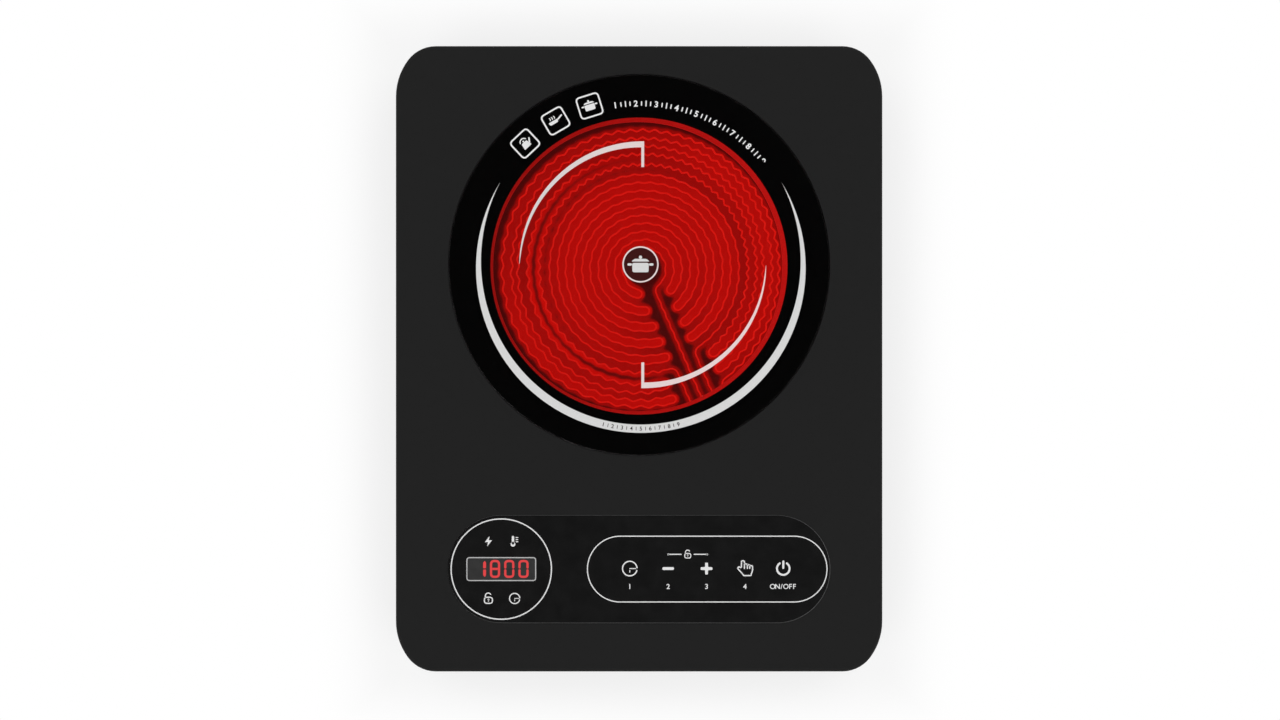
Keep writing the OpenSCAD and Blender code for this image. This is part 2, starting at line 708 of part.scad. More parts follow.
// Body and drilled tab against the heatsink, on three legs
module triac() on_power_board(sink_at) {
    body = [10, 4.6, 9];
    tab = [10, 1.4, 6.5];
    color([0.1, 0.1, 0.1]) translate([-body[0]/2, -body[1], 6]) cube(body);
    color("silver") difference() {
        translate([-tab[0]/2, -tab[1], 14.5]) cube(tab);
        translate([0, -3, 18]) lying(1.8, 4);
    }
    color("silver") for (x = [-2.54, 0, 2.54]) translate([x - 0.4, -2.8, 0]) cube([0.8, 0.6, 6.2]);
}

// Ceramic tube with a cap at each end, each cap on a clip
module fuse() on_power_board(fuse_at) {
    cap_x = fuse_l/2 + 1.4;
    color([0.9, 0.9, 0.85]) translate([-fuse_l/2, 0, 5]) rotate([0, 90, 0]) cylinder(r = fuse_r, h = fuse_l);
    color("silver") for (s = [-1, 1]) translate([s * cap_x, 0, 5]) {
        rotate([0, 90, 0]) cylinder(r = fuse_r + 0.2, h = 4, center = true);
        translate([-1.5, -2, -5]) cube([3, 4, 4]);
    }
}

// Three clamps, each with a screw hole above and a wire hole in front
module mains_terminal() color([0.1, 0.45, 0.2]) on_power_board(mains_at) difference() {
    translate([-mains_size[0]/2, -mains_size[1]/2, 0]) cube(mains_size);
    for (k = [-1:1]) translate([0, k * mains_pitch, 0]) {
        translate([0, 0, 6]) cylinder(r = 2.2, h = 9);
        translate([0, -2.5, 2]) cube([7, 5, 4]);
    }
}

module power_board_screws() color("silver")
    at(power_posts) translate([0, 0, power_z + board_t]) mirror([0, 0, 1]) screw(standoff_h + 2);

// ---- cooling fan ----

module fan_frame() color([0.07, 0.07, 0.07]) translate([fan_c[0], fan_c[1], fan_z]) {
    difference() {
        linear_extrude(fan_h) rounded(fan_side, fan_side, 4);
        translate([0, 0, -1]) cylinder(r = fan_bore_r, h = fan_h + 2);
        for (sx = [-1, 1]) for (sy = [-1, 1])
            translate([sx * fan_holes/2, sy * fan_holes/2, -1]) cylinder(r = hole_r + 0.3, h = fan_h + 2);
    }
    // motor plate on four struts, with the bearing tube
    difference() {
        union() {
            cylinder(r = hub_r, h = 2);
            for (a = [45:90:315]) rotate(a) translate([hub_r - 2, -2.5, 0])
                cube([fan_bore_r - hub_r + 4, 5, 2]);
            cylinder(r = shaft_r + shaft_gap + 2, h = fan_h - 6);
        }
        translate([0, 0, 1]) cylinder(r = shaft_r + shaft_gap, h = fan_h);
    }
}

module fan_stator() color([0.7, 0.4, 0.2]) translate([fan_c[0], fan_c[1], fan_z + 2.4]) difference() {
    union() {
        cylinder(r = hub_r - 8, h = fan_h - 9);
        for (a = [0:90:270]) rotate(a) translate([0, -3.5, 2]) cube([hub_r - 3.8, 7, fan_h - 13]);
    }
    translate([0, 0, -1]) cylinder(r = shaft_r + shaft_gap + 2.1, h = fan_h);
}

// A blade is a slice of a tube whose axis is radial, cut off between hub and tip
module fan_blade() {
    curve_r = 22;
    intersection() {
        difference() {
            cylinder(r = fan_bore_r - tip_gap, h = fan_h - 5);
            translate([0, 0, -1]) cylinder(r = hub_r - overlap, h = fan_h);
        }
        translate([0, 17, fan_h - 2]) rotate([0, 90, 0]) difference() {
            cylinder(r = curve_r, h = fan_bore_r);
            translate([0, 0, -1]) cylinder(r = curve_r - 1.2, h = fan_bore_r + 2);
        }
        translate([0, -8, 0]) cube([fan_bore_r, 15, fan_h - 5]);
    }
}

module fan_rotor() color([0.07, 0.07, 0.07]) translate([fan_c[0], fan_c[1], fan_z + 3.2]) {
    difference() {
        cylinder(r = hub_r, h = fan_h - 4.2);
        translate([0, 0, -1]) cylinder(r = hub_r - 1.4, h = fan_h - 4.8);
    }
    translate([0, 0, -1.6]) cylinder(r = shaft_r, h = fan_h - 3.4);
    for (k = [0:blade_count - 1]) rotate(360 * k/blade_count) fan_blade();
}

module fan_magnet() color([0.3, 0.3, 0.3]) translate([fan_c[0], fan_c[1], fan_z + 4]) difference() {
    cylinder(r = hub_r - 1.4, h = fan_h - 9);
    translate([0, 0, -1]) cylinder(r = hub_r - 3, h = fan_h);
}

module fan_screws() color("silver")
    at(fan_posts) translate([0, 0, fan_z + fan_h]) mirror([0, 0, 1]) screw(fan_h + 3.5);

module fan_lead() color([0.6, 0.1, 0.1]) {
    start = [fan_c[0] + fan_side/2 + 0.4, fan_c[1] - 10, fan_z + fan_h - 4];
    stop = [power_c[0] - power_w/2 + 4, fan_c[1] + 4, power_z + board_t + 0.4];
    wire(curve([start, start + [10, 0, 0], stop + [0, 0, 10], stop], 9), 1);
}

// ---- heater ----

// Puts its children in the heater's own frame: x along the lead channel, y across it
module in_heater() {
    translate([0, plate_y, 0]) rotate([0, 0, channel_a]) children();
}

module heater_dish() color([0.75, 0.76, 0.78]) in_heater() difference() {
    union() {
        rotate_extrude() polygon([[0, dish_z + 1.5], [40, dish_z + 1.5], [43, dish_z], [dish_r, dish_z],
            [dish_r, dish_z + dish_h], [dish_r - dish_t, dish_z + dish_h], [dish_r - dish_t, dish_z + dish_t],
            [43.4, dish_z + dish_t], [40.4, dish_z + dish_t + 1.5], [0, dish_z + dish_t + 1.5]]);
        // ear that carries the terminal block
        translate([dish_r - dish_t/2, block_v - 9, block_z - dish_t]) cube([11, 18, dish_t]);
    }
    translate([dish_r - 4, block_v - 14.5, block_z]) cube([8, 29, 30]);
    at(block_screws) translate([0, 0, block_z - 3]) cylinder(r = hole_r, h = 5);
}

module insulation_base() color([0.93, 0.92, 0.88]) in_heater() difference() {
    translate([0, 0, dish_z + dish_t]) cylinder(r = ring_out_r, h = bed_z - dish_z - dish_t);
    translate([0, 0, dish_z]) cylinder(r = 43.6, h = dish_t + 1.6);
}

module insulation_ring() color([0.93, 0.92, 0.88]) in_heater() difference() {
    translate([0, 0, bed_z]) cylinder(r = ring_out_r, h = glass_under - bed_z);
    rotate(-channel_a) translate([burner_dx, burner_dy, bed_z - 1])
        cylinder(r = burner_r, h = glass_under - bed_z + 2);
    for (v = lead_v) translate([burner_r - 4, v - 2, bed_z - 1])
        cube([14, 4, 1 + ribbon_h - ribbon_bed + 0.4]);
}

// Point at radius r and angle a
function polar(r, a) = r * [cos(a), sin(a)];

// Radius of ring i
function ring_r(i) = i <= inner_rings ? inner_first + (i - 1) * inner_pitch
    : outer_first + (i - inner_rings - 1) * outer_pitch;

// How far from the channel's middle line ring i ends
function end_v(i, ccw) = (i <= inner_rings ? inner_end_v : outer_end_v)[ccw ? 0 : 1];

// Angle at which rings i and i + 1 join in a hairpin
function hairpin_a(i, ccw) =
    let (a = asin(end_v(i, ccw) / ((ring_r(i) + ring_r(i + 1))/2))) ccw ? 360 + a : a;

// Waves in a full turn, and their height
function waves(i) = i <= inner_rings ? round(2 * PI * ring_r(i) / inner_wave_l) : outer_waves;
function wave_h(i) = i <= inner_rings ? inner_wave : outer_wave;

// Ring i from angle a0 to a1, its corrugation fading out over the last wave at each end
function ring_line(i, a0, a1) =
    let (n = ceil(abs(a1 - a0)/360 * waves(i) * wave_points))
    [for (k = [0:n]) let (a = a0 + (a1 - a0) * k/n, fade = min(1, k/wave_points, (n - k)/wave_points))
        polar(ring_r(i) + wave_h(i) * fade * sin(a * waves(i) + 45), a)];

// Half circle that joins ring i to ring i + 1, bulging towards the channel
function hairpin(i, ccw) =
    let (a = hairpin_a(i, ccw), h = (ring_r(i + 1) - ring_r(i))/2, side = ccw ? 1 : -1)
    [for (k = [1:5]) let (b = 180 - side * 30 * k)
        polar((ring_r(i) + ring_r(i + 1))/2 + h * cos(b), a) + h * sin(b) * [-sin(a), cos(a)]];

// Rings i to last, joined by hairpins
function zone_line(i, last, ccw, a0, a_end) =
    let (a1 = i == last ? a_end : hairpin_a(i, ccw))
    concat(ring_line(i, a0, a1),
        i == last ? [] : concat(hairpin(i, ccw), zone_line(i + 1, last, !ccw, a1, a_end)));

// A lead comes in from the rim at height v across the channel and bends into a ring of radius r
function bend_c(r, v) = let (w = v + sign(v) * bend_r) [sqrt((r + bend_r)^2 - w^2), w];
function bend_a(r, v) = atan2(bend_c(r, v)[1], bend_c(r, v)[0]);
function lead_line(r, v, rim) =
    let (c = bend_c(r, v), a0 = sign(v) * -90, a1 = bend_a(r, v) + sign(v) * -180)
    concat([[rim, v]], [for (k = [0:5]) c + polar(bend_r, a0 + (a1 - a0) * k/5)]);

// The whole line of each zone, in the heater's frame
function moved(p, v) = [for (q = p) q + v];
inner_line = moved(concat(
    lead_line(ring_r(1), lead_v[1], lead_end_r - inner_shift),
    zone_line(1, inner_rings, true,
        bend_a(ring_r(1), lead_v[1]) + 2, bend_a(ring_r(inner_rings), lead_v[2]) + 1),
    reversed(lead_line(ring_r(inner_rings), lead_v[2], lead_end_r - inner_shift))), [inner_shift, 0]);
outer_line = moved(concat(
    lead_line(outer_first, lead_v[0], lead_end_r - outer_shift),
    zone_line(inner_rings + 1, all_rings, false,
        360 + bend_a(outer_first, lead_v[0]) - 1, bend_a(ring_r(all_rings), lead_v[3]) + 1),
    reversed(lead_line(ring_r(all_rings), lead_v[3], lead_end_r - outer_shift))), [outer_shift, 0]);

module ribbon(line) color([1, 0.25, 0.1]) in_heater() translate([0, 0, bed_z - ribbon_bed])
    linear_extrude(ribbon_h) polygon(strip(line, ribbon_t));

module terminal_block() color([0.9, 0.88, 0.8]) in_heater() difference() {
    translate([block_u, block_v - 14, block_z]) cube([block_depth, 28, block_h]);
    for (v = lead_v) translate([block_u - 1, v + tab_v - slot_gap, tab_z - slot_gap])
        cube([block_depth + 2, tab_t + 2 * slot_gap, tab_h + 2 * slot_gap]);
    at(block_screws) translate([0, 0, block_z - 1]) cylinder(r = pilot_r, h = 6);
}

module terminal_tabs() color("silver") in_heater()
    for (v = lead_v) translate([tab_u, v + tab_v, tab_z])
        cube([block_u + block_depth + tab_reach - tab_u, tab_t, tab_h]);

module terminal_screws() color("silver") in_heater()
    at(block_screws) translate([0, 0, block_z - dish_t]) screw(5);

// Point of the heater's frame in the part's frame
function heater_point(u, v, z) =
    let (c = cos(channel_a), s = sin(channel_a)) [u * c - v * s, plate_y + u * s + v * c, z];

// Each lead leaves its tab along the channel and comes down upright on its spade post
function off_tab(k, u) = heater_point(block_u + block_depth + tab_reach + u, lead_v[k] + tab_v + tab_t/2,
    tab_z + tab_h/2);
function over_post(k, z) = [spade_x(k) + spade_w/2, spade_y + spade_l/2, power_z + board_t + spade_h + z];
module heater_leads() color([0.85, 0.85, 0.8]) for (k = [0:3])
    wire(concat([off_tab(k, lead_clear)],
        curve([off_tab(k, 2), off_tab(k, 9), over_post(k, 14), over_post(k, 2)], 9),
        [over_post(k, lead_clear)]), 1.3);

module heater_bracket() color("silver") difference() {
    translate([0, plate_y, strap_z]) linear_extrude(strap_t) rounded(2 * (dish_r + 16), strap_w, 4);
    at(strap_posts) translate([0, 0, strap_z - 1]) cylinder(r = hole_r, h = strap_t + 2);
    for (x = [-28, 28]) translate([x, plate_y, strap_z - 1]) linear_extrude(strap_t + 2) stadium(26, 8);
}

module bracket_screws() color("silver")
    at(strap_posts) translate([0, 0, strap_z + strap_t]) mirror([0, 0, 1]) screw(9);

// Bowed leaf spring between the strap and the dish, with flat feet
module heater_spring(s) color([0.6, 0.6, 0.62]) {
    span = 21;
    foot_l = 8;
    leaf_w = 14;
    leaf_t = 0.8;
    mid_x = strap_posts[1][0] - post_r - span - foot_l/2 - 2;
    rise = dish_z - strap_z - strap_t - 0.1;
    bow_r = (span^2 + rise^2) / (2 * rise);
    translate([s * mid_x, plate_y + leaf_w/2, strap_z + strap_t]) rotate([90, 0, 0]) linear_extrude(leaf_w) {
        intersection() {
            translate([0, rise - bow_r]) difference() {
                circle(bow_r);
                circle(bow_r - leaf_t);
            }
            translate([-span, 0]) square([2 * span, rise + 1]);
        }
        for (m = [-1, 1]) translate([m * (span + 1.5) - foot_l/2, 0]) square([foot_l, leaf_t]);
    }
}

module thermal_cutout() translate([0, plate_y, strap_z + strap_t]) {
    color([0.1, 0.1, 0.1]) cylinder(r = 7.5, h = 5);
    color("silver") translate([0, 0, 5]) cylinder(r = 8, h = 2);
    color("silver") for (s = [-1, 1]) translate([s * 10.5 - 4, -2.5, 1]) cube([8, 5, 0.8]);
}

// Temperature sensor that bears on the glass beside the heater, on a clip from the dish's rim
module glass_sensor() {
    a = 200;
    sensor_r = dish_r + 4.2;
    translate([0, plate_y, 0]) rotate(a) {
        color([0.9, 0.88, 0.8]) translate([sensor_r, 0, glass_under - 7]) cylinder(r = 2.5, h = 6.8);
        color("silver") translate([dish_r + 0.1, -3, glass_under - 8]) cube([8, 6, 1]);
        color("silver") translate([dish_r + 0.1, -3, glass_under - 16]) cube([0.8, 6, 9]);
    }
}

// ---- cord entry ----

// Flange outside, barrel through the wall, and a snap ring behind it
module cord_gland() color([0.06, 0.06, 0.06]) translate([cord_x, gland_seat_y, cord_z]) difference() {
    union() {
        lying(gland_flange_r, gland_flange_t);
        translate([0, -gland_barrel_l, 0]) lying(gland_barrel_r, gland_barrel_l + overlap);
        translate([0, -7.2, 0]) lying(gland_barrel_r + 1, 2);
    }
    translate([0, -gland_barrel_l - 1, 0]) lying(cord_bore_r, gland_barrel_l + gland_flange_t + 2);
}

top_housing();
base_pan();
glass_plate();
glass_seal();
panel_lens();
panel_tape();
control_board();
display_module();
indicator_lamps();
buzzer();
for (k = [0:4]) touch_spring(k);
control_board_screws();
flat_cable();
power_board();
relay(relay_inner_at);  // relay_inner_zone
relay(relay_outer_at);  // relay_outer_zone
transformer();
film_capacitor();
smoothing_capacitors();
triac_heatsink();
triac();
fuse();
mains_terminal();
power_board_screws();
fan_frame();
fan_stator();
fan_rotor();
fan_magnet();
fan_screws();
fan_lead();
heater_dish();
insulation_base();
insulation_ring();
ribbon(inner_line);  // inner_zone_ribbon
ribbon(outer_line);  // outer_zone_ribbon
terminal_block();
terminal_tabs();
terminal_screws();
heater_leads();
heater_bracket();
heater_spring(-1);  // left_heater_spring
heater_spring(1);  // right_heater_spring
bracket_screws();
thermal_cutout();
glass_sensor();
for (k = [0:3]) foot(k);
foot_screws();
housing_screws();
cord_gland();
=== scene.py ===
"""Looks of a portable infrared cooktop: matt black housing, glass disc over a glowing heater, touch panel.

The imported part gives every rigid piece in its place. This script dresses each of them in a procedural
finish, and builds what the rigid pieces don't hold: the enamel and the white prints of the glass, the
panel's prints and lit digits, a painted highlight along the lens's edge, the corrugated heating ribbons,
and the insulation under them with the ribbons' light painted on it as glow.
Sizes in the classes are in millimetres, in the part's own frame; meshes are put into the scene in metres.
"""

import json
import logging
import math
from collections.abc import Sequence
from dataclasses import dataclass, field, replace
from enum import Enum

import bmesh
import bpy
import numpy as np
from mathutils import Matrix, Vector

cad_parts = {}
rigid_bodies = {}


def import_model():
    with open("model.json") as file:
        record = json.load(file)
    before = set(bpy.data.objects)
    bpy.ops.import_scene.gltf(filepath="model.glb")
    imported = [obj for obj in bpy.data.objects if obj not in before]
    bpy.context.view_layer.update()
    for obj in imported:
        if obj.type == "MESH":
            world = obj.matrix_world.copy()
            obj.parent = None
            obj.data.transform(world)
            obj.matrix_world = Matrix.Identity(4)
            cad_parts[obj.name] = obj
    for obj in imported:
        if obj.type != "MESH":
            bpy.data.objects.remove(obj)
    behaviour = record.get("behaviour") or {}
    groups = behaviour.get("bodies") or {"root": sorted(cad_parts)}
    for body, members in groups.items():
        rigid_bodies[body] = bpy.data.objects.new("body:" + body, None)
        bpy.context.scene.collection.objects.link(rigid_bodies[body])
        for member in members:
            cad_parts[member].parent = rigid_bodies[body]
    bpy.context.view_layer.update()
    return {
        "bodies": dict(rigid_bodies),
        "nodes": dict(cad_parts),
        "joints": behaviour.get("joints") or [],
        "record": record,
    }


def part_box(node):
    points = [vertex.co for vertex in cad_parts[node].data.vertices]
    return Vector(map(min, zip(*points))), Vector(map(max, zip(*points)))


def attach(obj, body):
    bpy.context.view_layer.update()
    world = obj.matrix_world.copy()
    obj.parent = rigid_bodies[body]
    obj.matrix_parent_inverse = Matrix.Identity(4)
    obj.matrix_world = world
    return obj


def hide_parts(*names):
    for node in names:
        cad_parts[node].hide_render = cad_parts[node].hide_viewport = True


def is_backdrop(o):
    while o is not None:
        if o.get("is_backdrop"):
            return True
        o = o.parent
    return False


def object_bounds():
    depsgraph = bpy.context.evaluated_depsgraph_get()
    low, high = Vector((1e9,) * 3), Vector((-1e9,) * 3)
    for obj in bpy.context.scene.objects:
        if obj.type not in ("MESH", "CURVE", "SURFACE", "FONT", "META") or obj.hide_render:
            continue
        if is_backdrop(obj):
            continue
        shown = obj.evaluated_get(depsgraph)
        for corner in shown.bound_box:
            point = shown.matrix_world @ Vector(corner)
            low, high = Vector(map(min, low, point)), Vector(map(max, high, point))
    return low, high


MM = 0.001
HOUSING = "housing"
Colour = tuple[float, float, float]
Point = tuple[float, float]
Socket = bpy.types.NodeSocket

log = logging.getLogger("cooktop")


# ---------------------------------------------------------------------------------------------
# Colours and finishes
# ---------------------------------------------------------------------------------------------

def display(red: int, green: int, blue: int) -> Colour:
    """Linear colour of a display colour: the screen's gamma curve undone on each channel.

    Args:
        red, green, blue: display values from 0 to 255.

    Returns:
        The three linear values, from 0 to 1.
    """
    shares = np.array([red, green, blue]) / 255
    linear = np.where(shares <= 0.04045, shares / 12.92, ((shares + 0.055) / 1.055) ** 2.4)
    return tuple(float(value) for value in linear)


def grey(level: float) -> Colour:
    """A colour with the same linear value on each channel."""
    return level, level, level


class Pattern(Enum):
    """What breaks up the colour, gloss and relief of a finish."""

    GRAIN = "fine pits left by a spark-eroded mould"
    BRUSHED = "long fine scratches of rolled or drawn metal"
    FIBRE = "matted fibres of pressed insulation"
    WEAVE = "threads that cross each other"
    CLOUD = "soft patches of enamel, glass and rubber"


class Nodes:
    """Builds up a node tree node by node."""

    def __init__(self, tree: bpy.types.NodeTree) -> None:
        """Takes the tree that the nodes go into."""
        self.tree = tree

    def node(self, kind: str, **settings: object) -> bpy.types.Node:
        """Adds a node and sets its own settings.

        Args:
            kind: the node's type name, such as ShaderNodeBump.
            settings: the node's properties and their values.

        Returns:
            The new node.
        """
        made = self.tree.nodes.new(kind)
        for key, value in settings.items():
            setattr(made, key, value)
        return made

    def link(self, output: Socket, socket: Socket) -> None:
        """Joins an output to an input."""
        self.tree.links.new(output, socket)

    def feed(self, socket: Socket, value: Socket | float | Sequence[float]) -> None:
        """Gives an input its value.

        Args:
            socket: the input.
            value: an output that it is joined to, or a constant.
        """
        if isinstance(value, Socket):
            self.link(value, socket)
        else:
            socket.default_value = value

    def math(self, operation: str, *values: Socket | float) -> Socket:
        """Works out one number from others.

        Args:
            operation: the operation, such as MAXIMUM.
            values: what it works on.

        Returns:
            The result's output.
        """
        made = self.node("ShaderNodeMath", operation=operation)
        for socket, value in zip(made.inputs, values):
            self.feed(socket, value)
        return made.outputs["Value"]

    def axes(self, kind: str = "Object") -> bpy.types.NodeOutputs:
        """Splits coordinates into their axes.

        Args:
            kind: which coordinates.

        Returns:
            The X, Y and Z outputs.
        """
        where, split = self.node("ShaderNodeTexCoord"), self.node("ShaderNodeSeparateXYZ")
        self.link(where.outputs[kind], split.inputs["Vector"])
        return split.outputs


class Shader(Nodes):
    """Builds one procedural material round its principled shader."""

    NOISE_SPAN = (0.3, 0.7)  # where most of a noise's values lie

    def __init__(self, name: str) -> None:
        """Starts a material that holds only its principled shader and output.

        Args:
            name: the material's name.
        """
        self.material = bpy.data.materials.new(name)
        self.material.use_nodes = True
        super().__init__(self.material.node_tree)
        self.principled = self.tree.nodes["Principled BSDF"]

    def wear(self, name: str, value: Socket | float | Sequence[float]) -> None:
        """Sets one of the principled shader's inputs to a constant or to an output."""
        self.feed(self.principled.inputs[name], value)

    def place(self, size: Sequence[float]) -> Socket:
        """Object coordinates, counted in features of the given size.

        Args:
            size: how long a feature is along each axis, in mm.

        Returns:
            The vector output.
        """
        where = self.node("ShaderNodeTexCoord")
        mapping = self.node("ShaderNodeMapping")
        mapping.inputs["Scale"].default_value = [1 / (MM * length) for length in size]
        self.link(where.outputs["Object"], mapping.inputs["Vector"])
        return mapping.outputs["Vector"]

    def noise(self, size: Sequence[float], detail: float) -> Socket:
        """Cloudy noise from 0 to 1.

        Args:
            size: how long a feature is along each axis, in mm.
            detail: how many finer layers are laid over it.

        Returns:
            The noise's output.
        """
        noise = self.node("ShaderNodeTexNoise")
        noise.inputs["Detail"].default_value = detail
        self.link(self.place(size), noise.inputs["Vector"])
        return noise.outputs["Fac"]

    def weave(self, size: float) -> Socket:
        """Two sets of bands, along X and along Y, multiplied: the relief of crossing threads.

        Args:
            size: width of a thread, in mm.

        Returns:
            The relief's output, from 0 to 1.
        """
        bands = []
        for direction in "XY":
            wave = self.node("ShaderNodeTexWave", bands_direction=direction)
            wave.inputs["Scale"].default_value = 1.0
            self.link(self.place((size, size, size)), wave.inputs["Vector"])
            bands.append(wave.outputs["Fac"])
        return self.math("MULTIPLY", *bands)

    def mixed(self, share: Socket, low: Colour, high: Colour) -> Socket:
        """A colour that runs from one to another as a share crosses the noise's span.

        Args:
            share: the output that it follows.
            low, high: the colours below and above the span.

        Returns:
            The colour's output.
        """
        ramp = self.node("ShaderNodeValToRGB")
        for element, spot, colour in zip(ramp.color_ramp.elements, self.NOISE_SPAN, (low, high)):
            element.position, element.color = spot, (*colour, 1)
        self.link(share, ramp.inputs["Fac"])
        return ramp.outputs["Color"]

    def ranged(self, share: Socket, low: float, high: float, span: tuple[float, float] = NOISE_SPAN,
               **settings: object) -> Socket:
        """A number that runs from one value to another as a share crosses a span.

        Args:
            share: the output that it follows.
            low, high: the numbers below and above the span.
            span: where the share's span starts and ends.
            settings: the node's own settings.

        Returns:
            The number's output.
        """
        ranged = self.node("ShaderNodeMapRange", **settings)
        for name, value in zip(("From Min", "From Max", "To Min", "To Max"), (*span, low, high)):
            ranged.inputs[name].default_value = value
        self.link(share, ranged.inputs["Value"])
        return ranged.outputs["Result"]

    def relief(self, height: Socket, depth: float) -> None:
        """Turns a height into a bump of the surface.

        Args:
            height: the height's output, from 0 to 1.
            depth: depth of the bump, in mm.
        """
        bump = self.node("ShaderNodeBump")
        bump.inputs["Distance"].default_value = depth * MM
        self.link(height, bump.inputs["Height"])
        self.wear("Normal", bump.outputs["Normal"])


@dataclass(frozen=True)
class Finish:
    """An opaque surface: two close tones, a span of roughness, and a relief, all from one pattern.

    Attributes:
        name: the finish in plain words.
        tone: its main colour, linear.
        change: how much darker and lighter than the tone it goes, as a share.
        rough: the lowest and highest roughness.
        pattern: what the variation looks like.
        size: length of the pattern's features, in mm.
        depth: depth of the relief, in mm.
        metal: 1 for bare metal, otherwise 0.
        gloss: specular level of the surface; 0.5 is an ordinary plastic.
    """

    name: str
    tone: Colour
    change: float
    rough: tuple[float, float]
    pattern: Pattern
    size: float
    depth: float
    metal: float = 0.0
    gloss: float = 0.5

    def stretch(self) -> tuple[float, float, float]:
        """Feature size along each axis: longer in X for the scratches of metal and for fibres."""
        longer = {Pattern.BRUSHED: 40, Pattern.FIBRE: 3}.get(self.pattern, 1)
        return self.size * longer, self.size, self.size

    @staticmethod
    def spread_out(colour: Colour, share: float) -> tuple[Colour, Colour]:
        """A colour made darker and lighter by a share."""
        return tuple(tuple(value * factor for value in colour) for factor in (1 - share, 1 + share))

    def shader(self) -> Shader:
        """Builds the nodes: pattern into colour, roughness and bump; constants on the shader itself.

        Returns:
            The material's shader.
        """
        made, patch_size, fine_detail, patch_detail = Shader(self.name), self.size * 25, 4.0, 2.0
        woven = self.pattern is Pattern.WEAVE
        fine = made.weave(self.size) if woven else made.noise(self.stretch(), fine_detail)
        patches = made.noise((patch_size, patch_size, patch_size), patch_detail)
        streaked = self.pattern in (Pattern.BRUSHED, Pattern.FIBRE, Pattern.WEAVE)
        tones = self.spread_out(self.tone, self.change)
        made.wear("Base Color", made.mixed(fine if streaked else patches, *tones))
        made.wear("Roughness", made.ranged(patches, *self.rough))
        made.relief(fine, self.depth)
        made.wear("Metallic", self.metal)
        made.wear("Specular IOR Level", self.gloss)
        return made

    def material(self) -> bpy.types.Material:
        """The finished material, made once and shared by every piece that wears it."""
        return bpy.data.materials.get(self.name) or self.shader().material


@dataclass(frozen=True)
class Glass(Finish):
    """A clear finish: its tone is what it lets through.

    Attributes:
        ior: how strongly it bends light.
    """

    ior: float = 1.52

    def shader(self) -> Shader:
        """Clear glass with a slightly uneven polish.

        Returns:
            The material's shader.
        """
        made = super().shader()
        made.wear("Transmission Weight", 1.0)
        made.wear("IOR", self.ior)
        return made


@dataclass(frozen=True)
class Glow(Finish):
    """A surface that also gives light, a little uneven: real on the ribbons and digits, painted glow on rim
    and prints.

    Attributes:
        light: the light's linear colour.
        spread: how much dimmer and brighter than that its patches are, as a share.
        cooler_left: the share of the light left at the heater's left edge; painted shade on the rim and
            prints.
    """

    light: Colour = (1.0, 0.0, 0.0)
    spread: float = 0.05
    cooler_left: float = 1.0

    def shader(self) -> Shader:
        """Adds light that varies in patches a few millimetres wide.

        Where the left share is below 1, the light's strength falls evenly from the right edge to it at the
        left edge.

        Returns:
            The material's shader.
        """
        made, patch, detail, edge = super().shader(), 3.0, 2.0, 85 * MM
        patches = made.noise((patch, patch, patch), detail)
        made.wear("Emission Color", made.mixed(patches, *self.spread_out(self.light, self.spread)))
        made.wear("Emission Strength", 1.0)
        if self.cooler_left < 1:
            strength = made.ranged(made.axes()["X"], self.cooler_left, 1.0, (-edge, edge))
            made.wear("Emission Strength", strength)
        return made


@dataclass(frozen=True)
class HeatedFibre(Finish):
    """Insulation with the ribbons' light painted on as glow by an attribute: dark in the channel, bright
    between the ribbons.

    Attributes:
        glows: the painted light at each level of the attribute, from dimmest to brightest.
        levels: the attribute's value at which each of those lights is reached.
    """

    glows: tuple[Colour, ...] = ()
    levels: tuple[float, ...] = ()

    def shader(self) -> Shader:
        """Adds painted light from the mesh's own attribute through a ramp of colours.

        Returns:
            The material's shader.
        """
        made = super().shader()
        heat = made.node("ShaderNodeAttribute", attribute_name="bed_painted_glow")
        ramp = made.node("ShaderNodeValToRGB")
        elements = ramp.color_ramp.elements
        while len(elements) < len(self.levels):
            elements.new(0.5)
        for element, level, light in zip(elements, self.levels, self.glows):
            element.position, element.color = level, (*light, 1)
        made.link(heat.outputs["Fac"], ramp.inputs["Fac"])
        made.wear("Emission Color", ramp.outputs["Color"])
        made.wear("Emission Strength", 1.0)
        return made


GLASS_TINT: Colour = (0.55, 0.30, 0.30)
GLASS_FACES = 0.92  # what the glass's two faces let through


def through_glass(red: int, green: int, blue: int) -> Colour:
    """The light that a surface under the glass gives for a display colour seen above it."""
    return tuple(seen / (GLASS_FACES * tint) for seen, tint in zip(display(red, green, blue), GLASS_TINT))


DECK = Finish("matt charcoal moulding", grey(0.0066), 0.05, (0.52, 0.60), Pattern.GRAIN, 0.35, 0.012,
              gloss=0.16)
PAN = Finish("black pan moulding", grey(0.010), 0.08, (0.48, 0.58), Pattern.GRAIN, 0.5, 0.015, gloss=0.3)
BLACK_PART = Finish("black moulded part", grey(0.009), 0.1, (0.35, 0.5), Pattern.GRAIN, 0.4, 0.008)
RUBBER = Finish("black rubber", grey(0.012), 0.12, (0.7, 0.85), Pattern.CLOUD, 0.6, 0.01, gloss=0.3)
TOP_GLASS = Glass("smoked glass ceramic", GLASS_TINT, 0.02, (0.0, 0.012), Pattern.CLOUD, 2.0, 0.0002)
ENAMEL = Finish("black underglass enamel", (0.003, 0.005, 0.005), 0.1, (0.5, 0.6), Pattern.CLOUD, 1.0, 0.0005,
                gloss=0.0)
LENS = Finish("smoked panel lens", grey(0.0042), 0.04, (0.22, 0.26), Pattern.CLOUD, 1.6, 0.0003, gloss=0.4)
